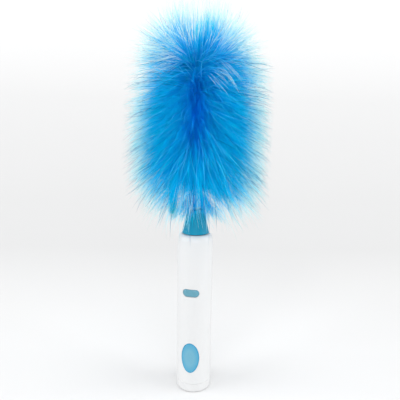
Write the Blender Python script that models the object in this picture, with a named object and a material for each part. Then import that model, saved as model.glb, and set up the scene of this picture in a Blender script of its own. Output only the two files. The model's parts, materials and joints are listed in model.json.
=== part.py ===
"""Electric spin duster: a battery handle that turns a fluffy fibre head.

Metres, +Z up. The origin is at the centre of the base, on the surface that the
duster stands on. The handle's axis is +Z, and the power button faces -Y.
"""

import math
import random

import bmesh
import bpy
from mathutils import Matrix, Vector

# Fits that many pieces share
GAP = 0.0003
SEAM = 0.0003
RUNNING_GAP = 0.0003
OVERRUN = 0.003
EMBED = 0.0005
MERGE_DISTANCE = 0.000003
SHARP_ANGLE = math.radians(35.0)

# Facets round a full circle
SHELL_FACETS = 28
ROUND_FACETS = 16
SMALL_FACETS = 10
CELL_FACETS = 12
OVAL_STEPS = 12

# Handle shells
BAY_CLEARANCE = 0.0012
CONTROL_BAY_HEIGHT = 0.05185
WALL = 0.002
SHOULDER_RISE = 0.009
SHOULDER_INSET = 0.005
SHOULDER_STEPS = 4
RIB_THICKNESS = 0.0016
NOSE_BOSS_WALL = 0.0032

# End cap and its quick thread
CAP_HEIGHT = 0.0105
CAP_FLOOR = 0.004
CAP_FILLET = 0.0023
FILLET_STEPS = 4
FOOT_WIDTH = 0.0049
FOOT_RECESS = 0.0008
COIN_SLOT_END = 0.0033
COIN_SLOT_WIDTH = 0.003
COIN_SLOT_DEPTH = 0.002
PLUG_HEIGHT = 0.009
PLUG_CLEARANCE = 0.0004
PLUG_WALL = 0.0017
RIM_STEP = 0.001
RIM_RISE = 0.0045
LUG_REACH = 0.0017
LUG_HEIGHT = 0.002
LUG_DROP = 0.002
LUG_ARC = math.radians(20.0)
LUG_BEARING = math.radians(317.0)
THREAD_LEAD = 0.032
CAP_TURN = math.radians(90.0)
HELIX_STEP = math.radians(9.0)

# Battery cells and their contacts
CELL_RADIUS = 0.00725
CELL_LENGTH = 0.0505
CELL_SPACING = 0.00042
CELL_NUB_RADIUS = 0.0027
CELL_NUB_HEIGHT = 0.0013
CELL_EDGE = 0.0006
DISC_THICKNESS = 0.0016
KEY_REACH = 0.0016
KEY_WIDTH = 0.0034
STRIP_THICKNESS = 0.0004
BRIDGE_WIDTH = 0.0052
BRIDGE_SHIFT = 0.00134
BRIDGE_END = 0.0042
STRIP_WIDTH = 0.004
STRIP_TAB_RISE = 0.006
SPRING_WIRE = 0.00035
SPRING_BASE_RADIUS = 0.0036
SPRING_TOP_RADIUS = 0.0022
SPRING_PITCH = 0.0014
SPRING_TURNS = 2.25
CURL_POINTS = 8
LEAST_COIL_GAP = 0.0004

# Battery holder
HOLDER_THICKNESS = 0.002
HOLDER_CLEARANCE = 0.0004
SPINE_LIFT = 0.0012
ARC_STEPS = 4

# Power button, switch and board
BUTTON_HALF_WIDTH = 0.0102
BUTTON_HALF_HEIGHT = 0.0048
BUTTON_RISE = 0.0009
BUTTON_CROWN_INSET = 0.0007
BUTTON_TRAVEL = 0.0012
FLANGE_BORDER = 0.0018
FLANGE_THICKNESS = 0.0014
STEM_RADIUS = 0.0025
STEM_DEPTH = 0.0019
PLUNGER_RADIUS = 0.0017
PLUNGER_LENGTH = 0.0026
PLUNGER_SHOWING = 0.0014
SWITCH_HALF_WIDTH = 0.0055
SWITCH_HALF_HEIGHT = 0.0045
SWITCH_DEPTH = 0.0042
BOARD_HALF_WIDTH = 0.0085
BOARD_RISE = 0.0045
BOARD_DROP = 0.0175
BOARD_THICKNESS = 0.0014
BOARD_POST_RADIUS = 0.0018
BOARD_POST_SPREAD = 0.006
BOARD_POST_INSET = 0.0035
REAR_POST_RADIUS = 0.0022
REAR_POST_DROP = 0.0025
BUTTON_BELOW_MOTOR = 0.006

# Oval badge inlay
BADGE_HALF_WIDTH = 0.01135
BADGE_HALF_HEIGHT = 0.01925
BADGE_CENTRE_HEIGHT = 0.04455
BADGE_RECESS = 0.001
BADGE_RISE = 0.0003
BADGE_RIM = 0.0006

# Shell screws and the bosses they run in
SCREW_RADIUS = 0.0012
SCREW_HEAD_RADIUS = 0.0024
SCREW_HEAD_HEIGHT = 0.0018
SCREW_CROWN_SHARE = 0.8
SCREW_GRIP = 0.0015
SCREW_LENGTH = 0.0125
BOSS_RADIUS = 0.0032
HEAD_SEAT_DEPTH = 0.004
LOWER_SCREW_INSET = 0.0023
LOWER_SCREW_DROP = 0.0215
UPPER_SCREW_INSET = 0.0018

# Hooks that line up the shells along the seam
HOOK_THICKNESS = 0.001
HOOK_REACH = 0.003
HOOK_HEIGHT = 0.008
HOOK_ROOT = 0.0012
HOOK_BAY_SHARES = (0.28, 0.765)

# Nose bush and output shaft
SHAFT_RADIUS = 0.0025
BUSH_RADIUS = 0.0048
BUSH_FLANGE_RADIUS = 0.0065
BUSH_FLANGE_THICKNESS = 0.0015
NOSE_THICKNESS = 0.0062
BOSS_LIP = 0.0016

# Gearbox
GEAR_MODULE = 0.0005
OUTPUT_TEETH = 26
IDLER_SMALL_TEETH = 12
IDLER_LARGE_TEETH = 28
PINION_TEETH = 10
PRESSURE_ANGLE = math.radians(20.0)
TOOTH_BACKLASH = 0.00012
ADDENDUM_SHARE = 0.85
DEDENDUM_SHARE = 1.2
PLATE_THICKNESS = 0.002
PLATE_GROOVE_DEPTH = 0.0016
GEAR_WIDTH = 0.003
GEAR_FLOOR = 0.0017
OUTPUT_GEAR_WIDTH = 0.004
OUTPUT_HUB_RADIUS = 0.0042
OUTPUT_HUB_LENGTH = 0.0011
WASHER_RADIUS = 0.005
WASHER_THICKNESS = 0.0008
IDLER_PIN_RADIUS = 0.001
PILLAR_RADIUS = 0.0015
PILLAR_INSET = 0.004
PILLAR_BEARING = math.radians(54.7)
IDLER_CLEARANCE = 0.0008

# Motor
MOTOR_RADIUS = 0.012
MOTOR_LENGTH = 0.031
MOTOR_WALL = 0.0012
END_BELL_HEIGHT = 0.0035
MOTOR_SHAFT_RADIUS = 0.00115
MOTOR_SCREW_SPREAD = 0.008
MOTOR_SCREW_RADIUS = 0.001
MOTOR_SCREW_HEAD_RADIUS = 0.0019
MOTOR_SCREW_HEAD_HEIGHT = 0.0012
MOTOR_SCREW_LENGTH = 0.0045
PINION_WIDTH = 0.0042
AIR_GAP = 0.0013
ARMATURE_END_ROOM = 0.0035
ARMATURE_CORE_SHARE = 0.42
ARMATURE_SLOT = 0.24
POLE_ROOT_SHARE = 0.8
POLE_LIP_SHARE = 0.86
POLE_FACE_SHARES = (-1, -0.5, 0, 0.5, 1)
COMMUTATOR_RADIUS = 0.0026
COMMUTATOR_LENGTH = 0.0018
POLES = 3
TERMINAL_SPREAD = 0.007
TERMINAL_WIDTH = 0.0024
TERMINAL_LENGTH = 0.0045
CRADLE_SHARES = (0.27, 0.82)

# Wires
WIRE_RADIUS = 0.0006
WIRE_POINTS = 11
WIRE_SWING = 0.012

# Hexagonal drive and head collar
HEX_ACROSS_FLATS = 0.009
HEX_LENGTH = 0.0185
DRIVE_FLANGE_RADIUS = 0.006
DRIVE_FLANGE_THICKNESS = 0.0012
SHAFT_PROUD = 0.0007
COLLAR_TOP_RADIUS = 0.010
COLLAR_HEIGHT = 0.028
COLLAR_WALL = 0.0016
COLLAR_LIFT = 0.0007
COLLAR_EDGE = 0.0005
SOCKET_TUBE_RADIUS = 0.0073
SOCKET_DEPTH_SPARE = 0.0006
SEPTUM = 0.0024
RIB_COUNT = 4
COLLAR_RIB_THICKNESS = 0.0014

# Core rod and its tip
ROD_RADIUS = 0.004
TIP_RADIUS = 0.0056
TIP_HEIGHT = 0.010
TIP_SEAT_DEPTH = 0.005

# Fibre head
RING_COUNT = 8
RING_PITCH = 0.0205
SLEEVE_RADIUS = 0.007
SLEEVE_LIFT = 0.0035
STRANDS_ROUND = 8
STRAND_BANDS = 3
RING_TWIST_SHARE = 0.38
STRAND_ROOT = 0.0012
STRAND_MIDDLE = 0.0023
HEAD_RADIUS = 0.083
HEAD_MIDDLE_RISE = 0.0958
HEAD_REACH_UP = 0.139
HEAD_REACH_DOWN = 0.130
HEAD_FULLNESS_SHARE = 0.72
LOWEST_TIP_ANGLE = math.radians(-69.0)
HIGHEST_TIP_ANGLE = math.radians(84.0)
LENGTH_SPREAD_SHARE = 0.07
SWEEP_SPREAD = math.radians(2.5)
BEND_SHARE = 0.1
MIDDLE_SHARE = 0.6
DROOP_SHARE = 0.32
SEED = 7

# Radii worked out outwards from the cells and the gears, whichever reach further
CELL_PITCH = 2 * CELL_RADIUS + CELL_SPACING
HALF_PITCH = CELL_PITCH / 2
BRIDGE_OFFSET = HALF_PITCH + BRIDGE_SHIFT
GEAR_DISTANCE = GEAR_MODULE * (OUTPUT_TEETH + IDLER_SMALL_TEETH) / 2
IDLER_RADIUS = GEAR_MODULE * (IDLER_LARGE_TEETH / 2 + ADDENDUM_SHARE)
CELL_BAY_RADIUS = HALF_PITCH * math.sqrt(2) + CELL_RADIUS + BAY_CLEARANCE
GEAR_BAY_RADIUS = GEAR_DISTANCE + IDLER_RADIUS + IDLER_CLEARANCE
INNER_RADIUS = max(CELL_BAY_RADIUS, GEAR_BAY_RADIUS)
HANDLE_RADIUS = INNER_RADIUS + WALL
RIM_RADIUS = INNER_RADIUS - RIM_STEP
PLUG_RADIUS = RIM_RADIUS - PLUG_CLEARANCE
PLATE_RADIUS = INNER_RADIUS - GAP
FOOT_INNER_RADIUS = HANDLE_RADIUS - CAP_FILLET - FOOT_WIDTH
COIN_SLOT_LENGTH = 2 * (FOOT_INNER_RADIUS - COIN_SLOT_END)
LOWER_SCREW_SPREAD = INNER_RADIUS - BOSS_RADIUS - LOWER_SCREW_INSET
UPPER_SCREW_SPREAD = INNER_RADIUS - BOSS_RADIUS - UPPER_SCREW_INSET
COLLAR_RADIUS = HANDLE_RADIUS - SHOULDER_INSET
ARMATURE_RADIUS = MOTOR_RADIUS - MOTOR_WALL - AIR_GAP
PILLAR_DISTANCE = PLATE_RADIUS - PILLAR_INSET

# Heights worked out from the base upwards
PLUG_TOP = CAP_HEIGHT + PLUG_HEIGHT
SHELL_BASE = CAP_HEIGHT + SEAM
LUG_HEIGHT_AT_REST = PLUG_TOP - LUG_DROP - LUG_HEIGHT / 2
DISC_BASE = PLUG_TOP + GAP
DISC_TOP = DISC_BASE + DISC_THICKNESS
RIM_TOP = DISC_TOP + RIM_RISE
BRIDGE_BASE = DISC_TOP + GAP
BRIDGE_TOP = BRIDGE_BASE + STRIP_THICKNESS
SPRING_HEIGHT = SPRING_TURNS * SPRING_PITCH + 2 * SPRING_WIRE
LOW_CELL_BASE = BRIDGE_TOP + GAP
HIGH_CELL_BASE = BRIDGE_TOP + GAP + SPRING_HEIGHT + GAP
TOP_CONTACT_BASE = HIGH_CELL_BASE + CELL_LENGTH + GAP
TOP_CONTACT_TOP = TOP_CONTACT_BASE + STRIP_THICKNESS
HOLDER_BASE = TOP_CONTACT_TOP + GAP
HOLDER_TOP = HOLDER_BASE + HOLDER_THICKNESS

# Heights worked out from the motor up to the nose
MOTOR_BASE = HOLDER_TOP + CONTROL_BAY_HEIGHT
MOTOR_TOP = MOTOR_BASE + MOTOR_LENGTH
CAN_BASE = MOTOR_BASE + END_BELL_HEIGHT + GAP
ARMATURE_LENGTH = MOTOR_TOP - MOTOR_WALL - CAN_BASE - 2 * ARMATURE_END_ROOM
LOWER_PLATE_BASE = MOTOR_TOP + GAP
LOWER_PLATE_TOP = LOWER_PLATE_BASE + PLATE_THICKNESS
PINION_BASE = LOWER_PLATE_TOP + GEAR_FLOOR - GAP
PINION_TOP = PINION_BASE + PINION_WIDTH
IDLER_BASE = LOWER_PLATE_TOP + GEAR_FLOOR
OUTPUT_GEAR_BASE = IDLER_BASE + GEAR_WIDTH + OUTPUT_GEAR_WIDTH / 2
OUTPUT_GEAR_TOP = OUTPUT_GEAR_BASE + OUTPUT_GEAR_WIDTH
HUB_TOP = OUTPUT_GEAR_TOP + OUTPUT_HUB_LENGTH
WASHER_BASE = HUB_TOP + GAP
WASHER_TOP = WASHER_BASE + WASHER_THICKNESS
UPPER_PLATE_BASE = WASHER_TOP + GAP
UPPER_PLATE_TOP = UPPER_PLATE_BASE + PLATE_THICKNESS
UPPER_SCREW_HEIGHT = (LOWER_PLATE_TOP + UPPER_PLATE_BASE) / 2
BOSS_BASE = UPPER_PLATE_TOP + BOSS_RADIUS
BUSH_FLANGE_BASE = BOSS_BASE + BOSS_LIP + 2 * GAP
BUSH_FLANGE_TOP = BUSH_FLANGE_BASE + BUSH_FLANGE_THICKNESS
HANDLE_TOP = BUSH_FLANGE_TOP + NOSE_THICKNESS
BUTTON_HEIGHT = MOTOR_BASE - BUTTON_BELOW_MOTOR
LOWER_SCREW_HEIGHT = BUTTON_HEIGHT - LOWER_SCREW_DROP

# Depths behind the button, measured from the handle's axis towards the front
FLANGE_FRONT = INNER_RADIUS - GAP
FLANGE_BACK = FLANGE_FRONT - FLANGE_THICKNESS
STEM_END = FLANGE_BACK - STEM_DEPTH
PLUNGER_FRONT = STEM_END - GAP
SWITCH_FRONT = PLUNGER_FRONT - PLUNGER_SHOWING
SWITCH_BACK = SWITCH_FRONT - SWITCH_DEPTH
BOARD_FRONT = SWITCH_BACK - GAP
BOARD_BACK = BOARD_FRONT - BOARD_THICKNESS

# Heights of the drive and the head
FLANGE_HEIGHT = HANDLE_TOP + COLLAR_LIFT
HEX_BASE = FLANGE_HEIGHT + DRIVE_FLANGE_THICKNESS
HEX_TOP = HEX_BASE + HEX_LENGTH
COLLAR_BASE = HANDLE_TOP + COLLAR_LIFT
COLLAR_TOP = COLLAR_BASE + COLLAR_HEIGHT
SOCKET_BASE = HEX_BASE + GAP
SOCKET_TOP = HEX_TOP + SHAFT_PROUD + SOCKET_DEPTH_SPARE
ROD_BASE = SOCKET_TOP + SEPTUM + GAP
SLEEVE_BASE = COLLAR_TOP + SLEEVE_LIFT
SLEEVE_TOP = SLEEVE_BASE + RING_COUNT * RING_PITCH
TIP_BASE = SLEEVE_TOP + GAP
ROD_TOP = TIP_BASE + TIP_SEAT_DEPTH - GAP
HEAD_MIDDLE_HEIGHT = COLLAR_TOP + HEAD_MIDDLE_RISE

# Finishes: colour, roughness, metallic
WHITE_PLASTIC = ((0.87, 0.88, 0.88, 1.0), 0.25, 0.0)
BLUE_PLASTIC = ((0.16, 0.42, 0.55, 1.0), 0.3, 0.0)
COLLAR_PLASTIC = ((0.01, 0.34, 0.52, 1.0), 0.35, 0.0)
FIBRE_BLUE = ((0.01, 0.25, 0.72, 1.0), 0.6, 0.0)
INNER_PLASTIC = ((0.55, 0.56, 0.57, 1.0), 0.5, 0.0)
GEAR_PLASTIC = ((0.80, 0.78, 0.70, 1.0), 0.4, 0.0)
STEEL = ((0.60, 0.60, 0.61, 1.0), 0.3, 1.0)
BRASS = ((0.72, 0.55, 0.25, 1.0), 0.3, 1.0)
CELL_JACKET = ((0.30, 0.31, 0.33, 1.0), 0.35, 0.6)
BOARD_GREEN = ((0.03, 0.20, 0.09, 1.0), 0.5, 0.0)
WIRE_RED = ((0.55, 0.03, 0.03, 1.0), 0.5, 0.0)
WIRE_BLACK = ((0.02, 0.02, 0.02, 1.0), 0.5, 0.0)
COPPER = ((0.72, 0.35, 0.18, 1.0), 0.35, 1.0)


def clear_scene():
    for obj in list(bpy.data.objects):
        bpy.data.objects.remove(obj, do_unlink=True)


def axis_empty(name, location, parent=None):
    """An empty on a joint's axis, which the pieces that move there are parented to."""
    empty = bpy.data.objects.new(name, None)
    bpy.context.scene.collection.objects.link(empty)
    empty.location = location
    empty.parent = parent
    return empty


def painted(name, finish):
    colour, roughness, metallic = finish
    paint = bpy.data.materials.new(name)
    paint.use_nodes = True
    shader = paint.node_tree.nodes["Principled BSDF"]
    shader.inputs["Base Color"].default_value = colour
    shader.inputs["Roughness"].default_value = roughness
    shader.inputs["Metallic"].default_value = metallic
    return paint


def mesh_object(name, shape):
    bmesh.ops.recalc_face_normals(shape, faces=shape.faces)
    if shape.calc_volume(signed=True) < 0.0:
        bmesh.ops.reverse_faces(shape, faces=shape.faces)
    mesh = bpy.data.meshes.new(name)
    shape.to_mesh(mesh)
    shape.free()
    mesh.shade_smooth()
    mesh.set_sharp_from_angle(angle=SHARP_ANGLE)
    obj = bpy.data.objects.new(name, mesh)
    bpy.context.scene.collection.objects.link(obj)
    return obj


def piece(name, shape, finish, parent=None):
    obj = mesh_object(name, shape)
    obj.data.materials.append(painted(name, finish))
    obj.parent = parent
    return obj


def tool(name, shape, parent=None):
    """A shape that only cuts, joins or trims a piece."""
    obj = mesh_object(name, shape)
    obj.hide_render = True
    obj.display_type = "WIRE"
    obj.parent = parent
    return obj


def combine(target, operation, *tools):
    for other in tools:
        modifier = target.modifiers.new(f"{operation.lower()} {other.name}", "BOOLEAN")
        modifier.operation = operation
        modifier.object = other
    return target


def cut(target, *tools):
    return combine(target, "DIFFERENCE", *tools)


def fuse(target, *tools):
    return combine(target, "UNION", *tools)


def trim(target, *tools):
    return combine(target, "INTERSECT", *tools)


def turned(outline, facets, arc=math.tau):
    """A solid turned about Z from (radius, height) points. A half turn covers -Y."""
    shape = bmesh.new()
    points = [shape.verts.new((-radius, 0.0, height)) for radius, height in outline]
    on_axis = outline[0][0] == 0.0 and outline[-1][0] == 0.0
    full = arc == math.tau
    steps = round(facets * arc / math.tau)
    if full:
        pairs = list(zip(points, points[1:]))
        if not on_axis:
            pairs.append((points[-1], points[0]))
        profile = [shape.edges.new(pair) for pair in pairs] + points
    else:
        profile = [shape.faces.new(points)]
    bmesh.ops.spin(
        shape,
        geom=profile,
        axis=(0.0, 0.0, 1.0),
        cent=(0.0, 0.0, 0.0),
        angle=arc,
        steps=steps,
        use_merge=full,
        use_duplicate=False,
    )
    bmesh.ops.remove_doubles(shape, verts=shape.verts, dist=MERGE_DISTANCE)
    return shape


def prism(outline, low, high):
    """A closed (x, y) outline raised from one height to another."""
    shape = bmesh.new()
    base = shape.faces.new([shape.verts.new((x, y, low)) for x, y in outline])
    raised = bmesh.ops.extrude_face_region(shape, geom=[base])["geom"]
    corners = [item for item in raised if isinstance(item, bmesh.types.BMVert)]
    bmesh.ops.translate(shape, verts=corners, vec=(0.0, 0.0, high - low))
    return shape


def block(low, high):
    """A box between two corners."""
    (x0, y0, z0), (x1, y1, z1) = low, high
    return prism([(x0, y0), (x1, y0), (x1, y1), (x0, y1)], z0, z1)


def rod(radius, low, high, facets=SMALL_FACETS):
    """A round bar about Z, with the middle of a facet and not a corner on -X."""
    shape = turned([(0.0, low), (radius, low), (radius, high), (0.0, high)], facets)
    shape.transform(Matrix.Rotation(math.pi / facets, 4, "Z"))
    return shape


def tube(inner, outer, low, high, facets=ROUND_FACETS):
    return turned([(inner, low), (outer, low), (outer, high), (inner, high)], facets)


def along_y(shape, x, z, towards=1.0):
    """Turns a shape built along +Z so that it runs along Y from the axis plane."""
    turn = Matrix.Rotation(-math.pi / 2 * towards, 4, "X")
    shape.transform(Matrix.Translation((x, 0.0, z)) @ turn)
    return shape


def moved(shape, x, y, z=0.0):
    shape.transform(Matrix.Translation((x, y, z)))
    return shape


def polar(radius, angle):
    return radius * math.cos(angle), radius * math.sin(angle)


def circle(radius, facets, centre=(0.0, 0.0)):
    turns = (math.tau * step / facets for step in range(facets))
    return [(centre[0] + polar(radius, turn)[0], centre[1] + polar(radius, turn)[1]) for turn in turns]


def quarter_ellipse(centre, half_width, half_height, start, steps):
    """Points of a quarter of an ellipse, from one axis towards the next."""
    turns = (start + math.pi / 2 * step / steps for step in range(steps + 1))
    return [
        (centre[0] + half_width * math.cos(turn), centre[1] + half_height * math.sin(turn))
        for turn in turns
    ]


def oval_stations(half_width, half_height):
    """(x, half height) stations across an ellipse, from its left end to its right."""
    turns = (math.pi * (1 - step / OVAL_STEPS) for step in range(OVAL_STEPS + 1))
    return [(half_width * math.cos(turn), half_height * math.sin(turn)) for turn in turns]


def pill_stations(half_width, half_height):
    """The same across a bar with round ends."""
    straight = half_width - half_height
    half = OVAL_STEPS // 2
    turns = [math.pi * (1 - step / OVAL_STEPS) for step in range(half + 1)]
    left = [(half_height * math.cos(turn) - straight, half_height * math.sin(turn)) for turn in turns]
    return left + [(-x, z) for x, z in reversed(left)]


def front_plate(layers):
    """A plate on the handle's front that follows its curve.

    Each layer is (stations, radius), from the back outwards. All walls run along Y.
    """
    shape = bmesh.new()
    rings = []
    for stations, radius in layers:
        tops = []
        bottoms = []
        for x, half_height in stations:
            y = -math.sqrt(radius**2 - x**2)
            tops.append(shape.verts.new((x, y, half_height)))
            end = (x, half_height) in (stations[0], stations[-1])
            bottoms.append(tops[-1] if end else shape.verts.new((x, y, -half_height)))
        rings.append((tops, bottoms))
    for tops, bottoms in (rings[0], rings[-1]):
        for left in range(len(tops) - 1):
            corners = [tops[left], tops[left + 1], bottoms[left + 1], bottoms[left]]
            shape.faces.new(list(dict.fromkeys(corners)))
    loops = [tops + bottoms[-2:0:-1] for tops, bottoms in rings]
    for back, front in zip(loops, loops[1:]):
        for here in range(len(back)):
            after = (here + 1) % len(back)
            shape.faces.new([back[here], back[after], front[after], front[here]])
    return shape


def helix_bar(inner, outer, height, middle, first, last):
    """A bar that climbs THREAD_LEAD in a turn. It is at height middle on bearing 0."""
    shape = bmesh.new()
    steps = max(2, round(abs(last - first) / HELIX_STEP))
    slices = []
    for step in range(steps + 1):
        bearing = first + (last - first) * step / steps
        climb = middle + THREAD_LEAD * bearing / math.tau
        corners = [
            (inner, climb - height / 2),
            (outer, climb - height / 2),
            (outer, climb + height / 2),
            (inner, climb + height / 2),
        ]
        slices.append([shape.verts.new((*polar(radius, bearing), z)) for radius, z in corners])
    for near, far in zip(slices, slices[1:]):
        for here in range(len(near)):
            after = (here + 1) % len(near)
            shape.faces.new([near[here], near[after], far[after], far[here]])
    shape.faces.new(slices[0])
    shape.faces.new(slices[-1])
    return shape


def tube_curve(name, points, radius, finish, sides_step, parent=None):
    """A round wire through the points, with filled ends."""
    curve = bpy.data.curves.new(name, "CURVE")
    curve.dimensions = "3D"
    curve.bevel_depth = radius
    curve.bevel_resolution = sides_step
    curve.use_fill_caps = True
    spline = curve.splines.new("POLY")
    spline.points.add(len(points) - 1)
    for point, place in zip(spline.points, points):
        point.co = (*place, 1.0)
    curve.materials.append(painted(name, finish))
    obj = bpy.data.objects.new(name, curve)
    bpy.context.scene.collection.objects.link(obj)
    obj.parent = parent
    return obj


# Handle shells


def shell_outline():
    """Half section of the moulded handle: outer wall, nose, bush seat, inner wall and ribs."""
    shoulder_base = HANDLE_TOP - SHOULDER_RISE
    shoulder = (HANDLE_RADIUS - SHOULDER_INSET, shoulder_base)
    nose_bore = BUSH_RADIUS + GAP
    seat = BUSH_FLANGE_RADIUS + GAP
    boss = BUSH_FLANGE_RADIUS + NOSE_BOSS_WALL / 2
    outer = [(HANDLE_RADIUS, SHELL_BASE)]
    outer += quarter_ellipse(shoulder, SHOULDER_INSET, SHOULDER_RISE, 0.0, SHOULDER_STEPS)
    bush_seat = [
        (nose_bore, HANDLE_TOP),
        (nose_bore, BUSH_FLANGE_TOP + GAP),
        (seat, BUSH_FLANGE_TOP + GAP),
        (seat, BUSH_FLANGE_BASE - GAP),
        (nose_bore, BUSH_FLANGE_BASE - GAP),
        (nose_bore, BOSS_BASE),
        (boss, BOSS_BASE),
        (boss, HANDLE_TOP - WALL),
    ]
    inner = quarter_ellipse(shoulder, SHOULDER_INSET - WALL, SHOULDER_RISE - WALL, 0.0, SHOULDER_STEPS)
    wall = list(reversed(inner))
    for low, high, radius in sorted(shell_ribs(), reverse=True):
        wall += [(INNER_RADIUS, high), (radius, high), (radius, low), (INNER_RADIUS, low)]
    wall += [(INNER_RADIUS, RIM_TOP + WALL), (RIM_RADIUS, RIM_TOP), (RIM_RADIUS, SHELL_BASE)]
    return outer + bush_seat + wall


def shell_ribs():
    """(low, high, inner radius) of each ring that stands in from the inner wall."""
    groove = PLATE_RADIUS - PLATE_GROOVE_DEPTH + GAP
    ribs = [(LOWER_PLATE_BASE - GAP - RIB_THICKNESS, LOWER_PLATE_BASE - GAP, groove)]
    for top in (HOLDER_TOP, LOWER_PLATE_TOP, UPPER_PLATE_TOP):
        ribs.append((top + GAP, top + GAP + RIB_THICKNESS, groove))
    for share in CRADLE_SHARES:
        middle = MOTOR_BASE + MOTOR_LENGTH * share
        ribs.append((middle - RIB_THICKNESS / 2, middle + RIB_THICKNESS / 2, MOTOR_RADIUS + GAP))
    return ribs


def screw_places():
    """(x, z) of the shell screws, which all run along Y."""
    pairs = ((LOWER_SCREW_SPREAD, LOWER_SCREW_HEIGHT), (UPPER_SCREW_SPREAD, UPPER_SCREW_HEIGHT))
    return [(side * spread, height) for spread, height in pairs for side in (-1, 1)]


def half_shell(name, side):
    """One moulded half: side -1 is the front, 1 the rear."""
    shape = turned(shell_outline(), SHELL_FACETS, math.pi)
    if side > 0:
        shape.transform(Matrix.Rotation(math.pi, 4, "Z"))
    bmesh.ops.bisect_plane(
        shape,
        geom=shape.verts[:] + shape.edges[:] + shape.faces[:],
        plane_co=(0.0, side * SEAM / 2, 0.0),
        plane_no=(0.0, -side, 0.0),
        clear_outer=True,
    )
    rims = [edge for edge in shape.edges if edge.is_boundary]
    bmesh.ops.edgeloop_fill(shape, edges=rims)
    return piece(name, shape, WHITE_PLASTIC)


def in_wall(obj):
    """Trims a boss so that it ends inside the curved wall."""
    core = tool(f"{obj.name}_core", rod(HANDLE_RADIUS - WALL / 2, SHELL_BASE, HANDLE_TOP, SHELL_FACETS))
    return trim(obj, core)


def thread_slot(bearing):
    """The slot that one lug of the cap runs in, down to the shell's open end."""
    spare = LUG_ARC / 2 + 2 * GAP / RIM_RADIUS
    middle = LUG_HEIGHT_AT_REST - THREAD_LEAD * bearing / math.tau
    inner = RIM_RADIUS - OVERRUN / 2
    outer = PLUG_RADIUS + LUG_REACH + GAP
    first = bearing + spare
    last = bearing - CAP_TURN - spare
    return helix_bar(inner, outer, LUG_HEIGHT + 2 * GAP, middle, first, last)


def key_grooves(name):
    """The two grooves along the seam that keep the contact disc from turning."""
    reach = PLUG_RADIUS + KEY_REACH + GAP
    half = KEY_WIDTH / 2 + GAP
    inner = RIM_RADIUS - OVERRUN / 2
    low = SHELL_BASE - OVERRUN
    high = RIM_TOP + OVERRUN
    return [
        tool(f"{name}_groove_left", block((-reach, -half, low), (-inner, half, high))),
        tool(f"{name}_groove_right", block((inner, -half, low), (reach, half, high))),
    ]


def hook_outline(side):
    """Top view of one hook: its root is in the front shell, its tongue inside the rear one."""
    tongue_outer = INNER_RADIUS - 2 * GAP
    tongue_inner = tongue_outer - HOOK_THICKNESS
    root_outer = INNER_RADIUS + HOOK_ROOT / 2
    return [
        (side * tongue_inner, -HOOK_REACH),
        (side * root_outer, -HOOK_REACH),
        (side * root_outer, -SEAM / 2 - GAP),
        (side * tongue_outer, -SEAM / 2 - GAP),
        (side * tongue_outer, HOOK_REACH),
        (side * tongue_inner, HOOK_REACH),
    ]


def hook_heights():
    """The hooks stand clear of the ribs: two beside the cells and one between the motor's ribs."""
    bay = HOLDER_BASE - RIM_TOP
    heights = [RIM_TOP + bay * share for share in HOOK_BAY_SHARES]
    return [*heights, MOTOR_BASE + MOTOR_LENGTH * sum(CRADLE_SHARES) / 2]


def build_front_shell():
    shell = half_shell("front_shell", -1)
    window = pill_stations(BUTTON_HALF_WIDTH + GAP, BUTTON_HALF_HEIGHT + GAP)
    opening = front_plate([(window, INNER_RADIUS - OVERRUN), (window, HANDLE_RADIUS + OVERRUN)])
    recess = oval_stations(BADGE_HALF_WIDTH + GAP, BADGE_HALF_HEIGHT + GAP)
    floor = HANDLE_RADIUS - BADGE_RECESS
    badge_seat = front_plate([(recess, floor), (recess, HANDLE_RADIUS + OVERRUN)])
    for index, (x, z) in enumerate(screw_places(), 1):
        boss = along_y(rod(BOSS_RADIUS, SEAM / 2, HANDLE_RADIUS), x, z, -1)
        fuse(shell, in_wall(tool(f"front_boss_{index}", boss)))
    for index, side in enumerate((-1, 1), 1):
        post = rod(BOARD_POST_RADIUS, BOARD_FRONT + GAP, HANDLE_RADIUS)
        place = (side * BOARD_POST_SPREAD, BUTTON_HEIGHT - BOARD_DROP + BOARD_POST_INSET)
        fuse(shell, in_wall(tool(f"board_post_{index}", along_y(post, *place, -1))))
    for index, middle in enumerate(hook_heights(), 1):
        for side in (-1, 1):
            hook = prism(hook_outline(side), middle - HOOK_HEIGHT / 2, middle + HOOK_HEIGHT / 2)
            fuse(shell, tool(f"hook_{index}_{'left' if side < 0 else 'right'}", hook))
    pilot = SCREW_RADIUS + GAP
    for index, (x, z) in enumerate(screw_places(), 1):
        hole = along_y(rod(pilot, -OVERRUN, SCREW_LENGTH - HEAD_SEAT_DEPTH + GAP), x, z, -1)
        cut(shell, tool(f"pilot_hole_{index}", hole))
    cut(shell, tool("button_window", moved(opening, 0.0, 0.0, BUTTON_HEIGHT)))
    cut(shell, tool("badge_seat", moved(badge_seat, 0.0, 0.0, BADGE_CENTRE_HEIGHT)))
    cut(shell, tool("front_thread_slot", thread_slot(LUG_BEARING)))
    cut(shell, *key_grooves("front"))


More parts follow.
